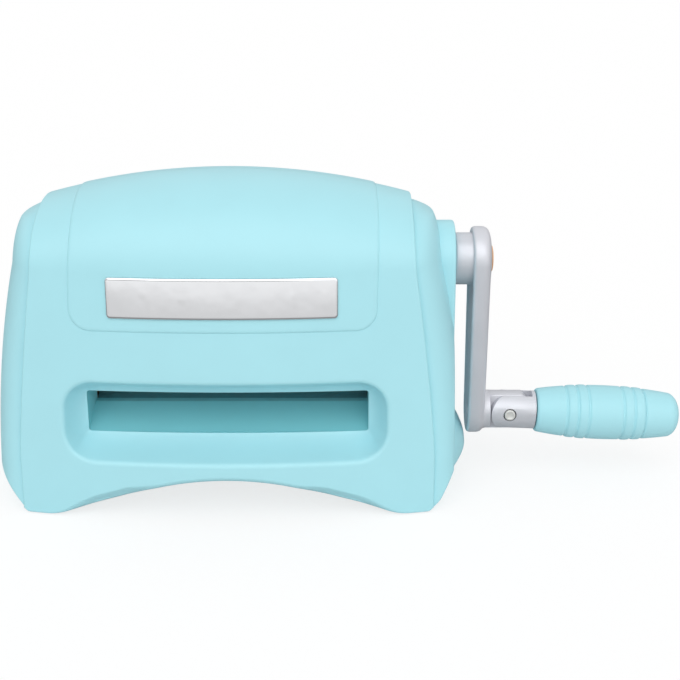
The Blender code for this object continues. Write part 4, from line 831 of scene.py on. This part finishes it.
# Fork: shapes cut from each other
def solid(points, faces):
    """A shape to cut, or to cut with."""
    mesh = raw_mesh("shape", points, faces)
    bm = bmesh.new()
    bm.from_mesh(mesh)
    bmesh.ops.remove_doubles(bm, verts=bm.verts, dist=1e-7)
    bmesh.ops.recalc_face_normals(bm, faces=bm.faces)
    bm.to_mesh(mesh)
    bm.free()
    obj = bpy.data.objects.new("shape", mesh)
    bpy.context.scene.collection.objects.link(obj)
    return obj


def prism_along_y(line, half):
    """A solid between two depths, with an outline in X and height from the pin."""
    ends = [np.array([(PIN_X + x, y, PIN_Z + z) for x, z in line]) for y in (-half, half)]
    points, faces = strip(ends)
    return solid(points, faces + [cap_face(0, len(line)), cap_face(len(line), len(line))])


def arc_line(radius, turn):
    return [(radius * math.cos(a), radius * math.sin(a)) for a in turn]


def carve(target, *steps):
    """Apply a row of Booleans, ease the edges and return the mesh that is left."""
    for operation, tool in steps:
        modifier = target.modifiers.new(operation, "BOOLEAN")
        modifier.operation = operation
        modifier.solver = "EXACT"
        modifier.object = tool
    edges = target.modifiers.new("edges", "BEVEL")
    edges.width = FORK_EASE
    edges.segments = 3
    edges.limit_method = "ANGLE"
    edges.angle_limit = math.radians(FORK_EASE_ANGLE)
    edges.use_clamp_overlap = True
    graph = bpy.context.evaluated_depsgraph_get()
    mesh = bpy.data.meshes.new_from_object(target.evaluated_get(graph))
    for obj in [target] + [tool for operation, tool in steps]:
        bpy.data.objects.remove(obj)
    return mesh


def make_clevis(material):
    """The fork that folds about the pin. It is laid out level, then drooped about the pin."""
    back_x, front_x = PIN_X - FORK_BACK, PIN_X + FORK_FRONT
    rod = ((TIP_RADIUS, back_x), (FORK_RADIUS, back_x), (FORK_RADIUS, front_x),
           (TIP_RADIUS, front_x))
    body = solid(*turned_part(rod, (0, PIN_Z), 128))
    # The cheeks are round about the pin, and the collar past them keeps the whole rod
    sides = arc_line(FORK_BACK, np.linspace(math.pi / 2, 3 * math.pi / 2, 49))
    sides += [(FORK_CHEEK, -FORK_BACK), (FORK_CHEEK, -COLLAR_CLEAR), (CUT_CLEAR, -COLLAR_CLEAR),
              (CUT_CLEAR, COLLAR_CLEAR), (FORK_CHEEK, COLLAR_CLEAR), (FORK_CHEEK, FORK_BACK)]
    gap = [(-CUT_CLEAR, -CUT_CLEAR), (FORK_GAP_END, -CUT_CLEAR), (FORK_GAP_END, CUT_CLEAR),
           (-CUT_CLEAR, CUT_CLEAR)]
    hole = arc_line(FORK_HOLE, np.linspace(0, 2 * math.pi, TURN_STEPS, endpoint=False))
    mesh = carve(body, ("INTERSECT", prism_along_y(sides, CUT_CLEAR)),
                 ("DIFFERENCE", prism_along_y(gap, FORK_GAP_HALF)),
                 ("DIFFERENCE", prism_along_y(hole, CUT_CLEAR)))
    droop(mesh)
    clevis = finish_piece("grip_clevis_dressed", mesh, material, "fork", FORK_CREASE)
    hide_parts("grip_clevis")
    return clevis


def droop(mesh):
    """Turn a mesh about the fold pin by the small angle at which the grip hangs."""
    pin = to_world((PIN_X, 0, PIN_Z))
    cos, sin = math.cos(GRIP_DROOP), math.sin(GRIP_DROOP)
    for vertex in mesh.vertices:
        x, z = vertex.co.x - pin[0], vertex.co.z - pin[2]
        vertex.co.x = pin[0] + x * cos + z * sin
        vertex.co.z = pin[2] - x * sin + z * cos


# Grip
def grip_radius(along):
    """The belly's radius, without the grooves."""
    if along <= GRIP_BELLY:
        share = (GRIP_BELLY - along) / (GRIP_BELLY - GRIP_START)
        return GRIP_BELLY_RADIUS - (GRIP_BELLY_RADIUS - GRIP_START_RADIUS) * share ** 2
    share = (along - GRIP_BELLY) / (GRIP_END - GRIP_BELLY)
    return GRIP_BELLY_RADIUS - (GRIP_BELLY_RADIUS - GRIP_END_RADIUS) * share ** 2


def grip_point(along):
    """The radius with its grooves and the bands between them, a little proud, and the way along."""
    radius = grip_radius(along)
    for first, last in ((GROOVES[0], GROOVES[2]), (GROOVES[3], GROOVES[5])):
        if first < along < last:
            share = (along - first) / (last - first) * 2 % 1
            radius += BAND_RISE * math.sin(math.pi * share)
    for centre in GROOVES:
        away = abs(along - centre) / GROOVE_HALF
        if away < 1:
            radius -= GROOVE_DEPTH * (1 - away ** 2) ** 2
    return radius, along


def make_grip(material):
    before, after = GRIP_SPLIT - SPLIT_HALF, GRIP_SPLIT + SPLIT_HALF
    nose_start = GRIP_END - GRIP_NOSE
    nose_radius = grip_radius(nose_start)
    profile = list(GRIP_MOUTH)
    profile += [grip_point(along) for along in np.arange(GRIP_RIM_END, before, GRIP_STATION)]
    profile += [grip_point(before), (GRIP_BORE, before)]
    grip = grip_part("grip_dressed", profile, material)
    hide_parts("grip")
    profile = [(GRIP_BORE, after), grip_point(after)]
    profile += [grip_point(along) for along in np.arange(after + 0.2, nose_start, GRIP_STATION)]
    for turn in np.radians(np.linspace(0, 89, 30)):
        profile.append((nose_radius * math.cos(turn) ** NOSE_FULL,
                        nose_start + GRIP_NOSE * math.sin(turn) ** NOSE_LONG))
    profile.append((TIP_RADIUS, GRIP_END))
    end = grip_part("grip_end_cap_dressed", profile, material)
    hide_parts("grip_end_cap")
    return grip, end


def grip_part(name, profile, material):
    profile = [(radius, PIN_X + along) for radius, along in profile]
    points, faces = turned_part(profile, (0, PIN_Z), 160)
    piece = mesh_piece(name, points, faces, material, "grip_set", TRIM_CREASE)
    droop(piece.data)
    return piece


# Small turned pieces
def make_crank_cap(material):
    """A thin, slightly domed disc in the middle of the arm's outer face."""
    base = ARM_OUTER_X + CAP_SEAT
    profile = [(radius, base + out) for radius, out in CAP_PROFILE]
    for turn in np.radians(np.linspace(8, 90, 24)):
        profile.append((CAP_RADIUS * math.cos(turn), base + CAP_RIM + CAP_RISE * math.sin(turn)))
    points, faces = turned_part(profile, (0, CRANK_Z))
    cap = mesh_piece("crank_cap_dressed", points, faces, material, "crank", TRIM_CREASE)
    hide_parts("crank_cap")
    return cap


def make_fold_pin(material):
    """The pin through the knuckle, with eased ends and a shallow dish in each."""
    half = [(radius, PIN_TIP - below) for radius, below in PIN_PROFILE]
    profile = half + [(radius, -y) for radius, y in reversed(half)]
    points, faces = turned_part(profile, (0, 0))
    points = np.column_stack([PIN_X + points[:, 1], points[:, 0], PIN_Z + points[:, 2]])
    pin = mesh_piece("fold_pin_dressed", points, faces, material, "crank", TRIM_CREASE)
    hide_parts("fold_pin")
    return pin


# Materials
# The sockets of a mix node for colours
COLOUR_A, COLOUR_B, COLOUR_OUT = 6, 7, 2
# The span that most of a noise texture's values fall in
NOISE_SPAN = (0.3, 0.7)
NOISE_ROUGHNESS = 0.55


def link_noise(nodes, links, place, scale, detail=3.0):
    noise = nodes.new("ShaderNodeTexNoise")
    noise.inputs["Scale"].default_value = scale
    noise.inputs["Detail"].default_value = detail
    noise.inputs["Roughness"].default_value = NOISE_ROUGHNESS
    links.new(place, noise.inputs["Vector"])
    return noise.outputs["Fac"]


def ranged(nodes, links, value, start, end, low, high, smooth=False):
    """Low to high while a value goes from start to end."""
    node = nodes.new("ShaderNodeMapRange")
    if smooth:
        node.interpolation_type = "SMOOTHSTEP"
    node.inputs["From Min"].default_value = start
    node.inputs["From Max"].default_value = end
    node.inputs["To Min"].default_value = low
    node.inputs["To Max"].default_value = high
    links.new(value, node.inputs["Value"])
    return node.outputs["Result"]


def mix_colours(nodes, links, share, first, second):
    node = nodes.new("ShaderNodeMix")
    node.data_type = "RGBA"
    links.new(share, node.inputs["Factor"])
    node.inputs[COLOUR_A].default_value = (*first, 1)
    node.inputs[COLOUR_B].default_value = (*second, 1)
    return node.outputs[COLOUR_OUT]


def finish(name, colour, roughness, metallic=0.0, mottle=0.03, mottle_scale=35, rough_spread=0.05,
           grain=2200, grain_depth=0.00002, stretch=(1, 1, 1)):
    """A procedural finish: colour that drifts a little, uneven gloss and a fine surface grain."""
    material = bpy.data.materials.new(name)
    material.use_nodes = True
    nodes, links = material.node_tree.nodes, material.node_tree.links
    shader = nodes["Principled BSDF"]
    shader.inputs["Metallic"].default_value = metallic
    place = nodes.new("ShaderNodeTexCoord").outputs["Object"]
    drift = ranged(nodes, links, link_noise(nodes, links, place, mottle_scale), *NOISE_SPAN, 0, 1)
    darker = [part * (1 - mottle) for part in colour]
    lighter = [min(part * (1 + mottle), 1) for part in colour]
    links.new(mix_colours(nodes, links, drift, darker, lighter), shader.inputs["Base Color"])
    patches = link_noise(nodes, links, place, mottle_scale * 4, 4.0)
    gloss = ranged(nodes, links, patches, *NOISE_SPAN, roughness - rough_spread,
                   roughness + rough_spread)
    links.new(gloss, shader.inputs["Roughness"])
    mapping = nodes.new("ShaderNodeMapping")
    mapping.inputs["Scale"].default_value = stretch
    links.new(place, mapping.inputs["Vector"])
    fine = link_noise(nodes, links, mapping.outputs["Vector"], grain, 2.0)
    bump = nodes.new("ShaderNodeBump")
    bump.inputs["Distance"].default_value = grain_depth
    bump.inputs["Strength"].default_value = 1.0
    links.new(fine, bump.inputs["Height"])
    links.new(bump.outputs["Normal"], shader.inputs["Normal"])
    return material


MINT_COLOUR = (0.42, 0.785, 0.86)
MINT = finish("mint_plastic", MINT_COLOUR, 0.42, mottle=0.012, grain=1800, grain_depth=0.000012)
# Painted shade: the feed guides take a darker copy of the casing's mint, for the shade inside the
# slot
SHADED_MINT = finish("guide_painted_shade", (0.25, 0.65, 0.705), 0.46, mottle=0.015,
                   grain=1600, grain_depth=0.000014)
GRIP_MINT = finish("grip_plastic", MINT_COLOUR, 0.5, mottle=0.012, grain=1500, grain_depth=0.00002)
ORANGE = finish("orange_plastic", (0.93, 0.53, 0.27), 0.4, mottle=0.02,
                grain=2000, grain_depth=0.00001)
RUBBER = finish("black_rubber", (0.03, 0.03, 0.032), 0.8, mottle=0.15, mottle_scale=150,
                rough_spread=0.08, grain=900, grain_depth=0.00006)
SILVER = finish("silver_paint", (0.66, 0.67, 0.715), 0.42, metallic=0.35, mottle=0.02,
                rough_spread=0.06, grain=5200, grain_depth=0.000008)
STEEL = finish("bright_steel", (0.66, 0.66, 0.67), 0.28, metallic=1.0, mottle=0.03,
               grain=900, grain_depth=0.000003, stretch=(0.05, 1, 1))
PIN_STEEL = finish("pin_steel", (0.80, 0.80, 0.77), 0.42, metallic=0.45, mottle=0.05,
                   mottle_scale=400, grain=900, grain_depth=0.000006, stretch=(1, 0.05, 1))
# Painted reflection: the rollers' steel is tinted mint, standing in for the casing's colour bounced
# into the shaded slot
ROLLER_MINT_TINTED = finish("roller_steel_painted_tint", (0.30, 0.58, 0.62), 0.4, metallic=0.7, mottle=0.02,
                rough_spread=0.02, grain=1500, grain_depth=0.000002, stretch=(0.2, 1, 1))
GEAR = finish("gear_steel", (0.16, 0.16, 0.17), 0.42, metallic=0.9, mottle=0.12, mottle_scale=120,
              rough_spread=0.1, grain=1200, grain_depth=0.00003)
PLATED = finish("zinc_plate", (0.52, 0.53, 0.56), 0.42, metallic=1.0, mottle=0.06, mottle_scale=90,
                rough_spread=0.1, grain=700, grain_depth=0.00002)
CHROME = finish("chrome", (0.86, 0.87, 0.89), 0.09, metallic=1.0, mottle=0.01,
                rough_spread=0.03, grain=60, grain_depth=0.00006)
BRONZE = finish("sintered_bronze", (0.50, 0.34, 0.16), 0.48, metallic=1.0, mottle=0.12,
                mottle_scale=300, rough_spread=0.1, grain=1600, grain_depth=0.00004)
FINISHES = {"casing": MINT, "grip_plastic": GRIP_MINT, "silver": SILVER, "steel": STEEL,
            "zinc": PLATED, "plate": CHROME, "bronze": BRONZE, "gear": GEAR, "orange": ORANGE,
            "rubber": RUBBER}
# Painted light: the guides' darker mint is painted shade, and the rollers' mint tint is painted
# bounce light, both inside the slot
PAINTED_LIGHT_FINISHES = {"front_feed_guide": SHADED_MINT, "rear_feed_guide": SHADED_MINT,
                    "upper_roller": ROLLER_MINT_TINTED, "lower_roller": ROLLER_MINT_TINTED}

# Nodes that keep their shape take a finish by their slot in the record, or by their name one with
# painted shade or a painted tint
for part in frame["record"]["subparts"]:
    node = frame["nodes"][part["node"]]
    node.data.materials.clear()
    slot_finish = FINISHES[part["material_slot"]]
    node.data.materials.append(PAINTED_LIGHT_FINISHES.get(part["node"], slot_finish))

# Pieces
front = make_cover("front_cover", False, MINT)
rear = make_cover("rear_cover", True, MINT)
left_cap = make_end_cap("left_end_cap", False, MINT)
right_cap = make_end_cap("right_end_cap", True, MINT)
plate = make_name_plate(CHROME)
arm = make_crank_arm(SILVER)
clevis = make_clevis(SILVER)
grip, grip_end = make_grip(GRIP_MINT)
cap = make_crank_cap(ORANGE)
pin = make_fold_pin(PIN_STEEL)


# Floor, light and camera, in metres
FLOOR_REACH = 30.0
# How white the camera sees the floor, and how far it stays white in the shadow
FLOOR_WHITE = 1.04
FLOOR_GLOW = 0.72
# What the floor is to the light that bounces off it, and to the camera
FLOOR_BOUNCE = (0.78, 0.78, 0.78)
FLOOR_SEEN = (1, 1, 1)
# Painted reflection: Y where the floor, as mirrors see it, glows from one brightness to another,
# which shades the plate's chrome
FLOOR_REFLECTION_BANDS = ((-0.85, -0.77, 0.97, 0.72), (-0.5, -0.25, 1.0, 0.4))
# The even light all round, and the same ease for the sky that mirrors alone see, a painted
# reflection, by how far a ray looks up
SKY_LEVEL = 0.63
SKY_REFLECTION_EASE = (0.05, 0.75, 0.5, 1.0)
CAMERA_LENS = 63.53
CAMERA_PLACE = (-0.00196, -0.6505, 0.2938)
# Degrees down
CAMERA_TILT = 18


def mix_shaders(nodes, links, share, first, second):
    node = nodes.new("ShaderNodeMixShader")
    links.new(share, node.inputs[0])
    links.new(first, node.inputs[1])
    links.new(second, node.inputs[2])
    return node.outputs[0]


def times(nodes, links, value, factor):
    """A value times a number or another value."""
    node = nodes.new("ShaderNodeMath")
    node.operation = "MULTIPLY"
    links.new(value, node.inputs[0])
    plug(links, factor, node.inputs[1])
    return node.outputs[0]


def plug(links, value, socket):
    """Give a socket a number or a link."""
    if isinstance(value, float):
        socket.default_value = value
    else:
        links.new(value, socket)


def make_floor():
    """White where the camera looks, with a light shadow, and for mirrors a glow that is grey in
    parts: a painted reflection.
    """
    mesh = bpy.data.meshes.new("floor")
    low, high = -FLOOR_REACH, FLOOR_REACH
    mesh.from_pydata([(low, low, 0), (high, low, 0), (high, high, 0), (low, high, 0)], [],
                     [(0, 1, 2, 3)])
    floor = bpy.data.objects.new("floor", mesh)
    bpy.context.scene.collection.objects.link(floor)
    material = bpy.data.materials.new("floor_white")
    material.use_nodes = True
    nodes, links = material.node_tree.nodes, material.node_tree.links
    shader = nodes["Principled BSDF"]
    shader.inputs["Roughness"].default_value = 0.9
    shader.inputs["Specular IOR Level"].default_value = 0.0
    paths = nodes.new("ShaderNodeLightPath")
    by_camera, by_mirror = paths.outputs["Is Camera Ray"], paths.outputs["Is Glossy Ray"]
    colour = mix_colours(nodes, links, by_camera, FLOOR_BOUNCE, FLOOR_SEEN)
    links.new(colour, shader.inputs["Base Color"])
    white = nodes.new("ShaderNodeEmission")
    white.inputs["Strength"].default_value = FLOOR_WHITE
    lit = mix_shaders(nodes, links, times(nodes, links, by_camera, FLOOR_GLOW), shader.outputs[0],
                      white.outputs[0])
    # Painted reflection: mirrors see the floor glow in grey and white bands by its Y, not the light
    # it bounces
    place = nodes.new("ShaderNodeSeparateXYZ")
    links.new(nodes.new("ShaderNodeNewGeometry").outputs["Position"], place.inputs[0])
    near, far = [ranged(nodes, links, place.outputs["Y"], *span, smooth=True)
                 for span in FLOOR_REFLECTION_BANDS]
    painted_reflection = nodes.new("ShaderNodeEmission")
    links.new(times(nodes, links, near, far), painted_reflection.inputs["Strength"])
    whole = mix_shaders(nodes, links, by_mirror, lit, painted_reflection.outputs[0])
    links.new(whole, nodes["Material Output"].inputs["Surface"])
    mesh.materials.append(material)


def make_world():
    """Even light, white behind the object, and, as a painted reflection, paler overhead than at eye
    level in mirrors alone.
    """
    world = bpy.data.worlds.new("studio")
    bpy.context.scene.world = world
    world.use_nodes = True
    nodes, links = world.node_tree.nodes, world.node_tree.links
    background = nodes["Background"]
    background.inputs["Color"].default_value = (1, 1, 1, 1)
    paths = nodes.new("ShaderNodeLightPath")
    way = nodes.new("ShaderNodeSeparateXYZ")
    links.new(nodes.new("ShaderNodeTexCoord").outputs["Generated"], way.inputs[0])
    # Painted reflection: mirrors alone see the sky darker at eye level than overhead, unlike the
    # even light
    painted_reflection = ranged(nodes, links, way.outputs["Z"], *SKY_REFLECTION_EASE, smooth=True)
    strength = SKY_LEVEL
    for path, value in (("Is Glossy Ray", painted_reflection), ("Is Transmission Ray", 1.0),
                        ("Is Camera Ray", 1.0)):
        mix = nodes.new("ShaderNodeMix")
        mix.data_type = "FLOAT"
        links.new(paths.outputs[path], mix.inputs["Factor"])
        plug(links, strength, mix.inputs[2])
        plug(links, value, mix.inputs[3])
        strength = mix.outputs[0]
    links.new(strength, background.inputs["Strength"])


def make_lamp(name, elevation, azimuth, strength, spread_angle):
    """A soft lamp far away. Azimuth 0 is in front, and it grows to the right."""
    lamp = bpy.data.lights.new(name, "SUN")
    lamp.energy = strength
    lamp.angle = math.radians(spread_angle)
    obj = bpy.data.objects.new(name, lamp)
    obj.rotation_euler = (math.radians(90 - elevation), 0, math.radians(azimuth))
    bpy.context.scene.collection.objects.link(obj)


def make_camera():
    """The photo's camera, as found from the outlines."""
    camera = bpy.data.cameras.new("camera")
    camera.lens = CAMERA_LENS
    camera.sensor_width = 36.0
    camera.clip_start = 0.01
    camera.clip_end = 100.0
    obj = bpy.data.objects.new("camera", camera)
    obj.location = CAMERA_PLACE
    obj.rotation_euler = (math.radians(90 - CAMERA_TILT), 0, 0)
    bpy.context.scene.collection.objects.link(obj)
    bpy.context.scene.camera = obj


make_floor()
make_world()
make_lamp("key_lamp", elevation=44, azimuth=-10, strength=0.98, spread_angle=60)
make_lamp("fill_lamp", elevation=15, azimuth=35, strength=0.5, spread_angle=60)
make_camera()
bpy.context.scene.view_settings.view_transform = "Standard"
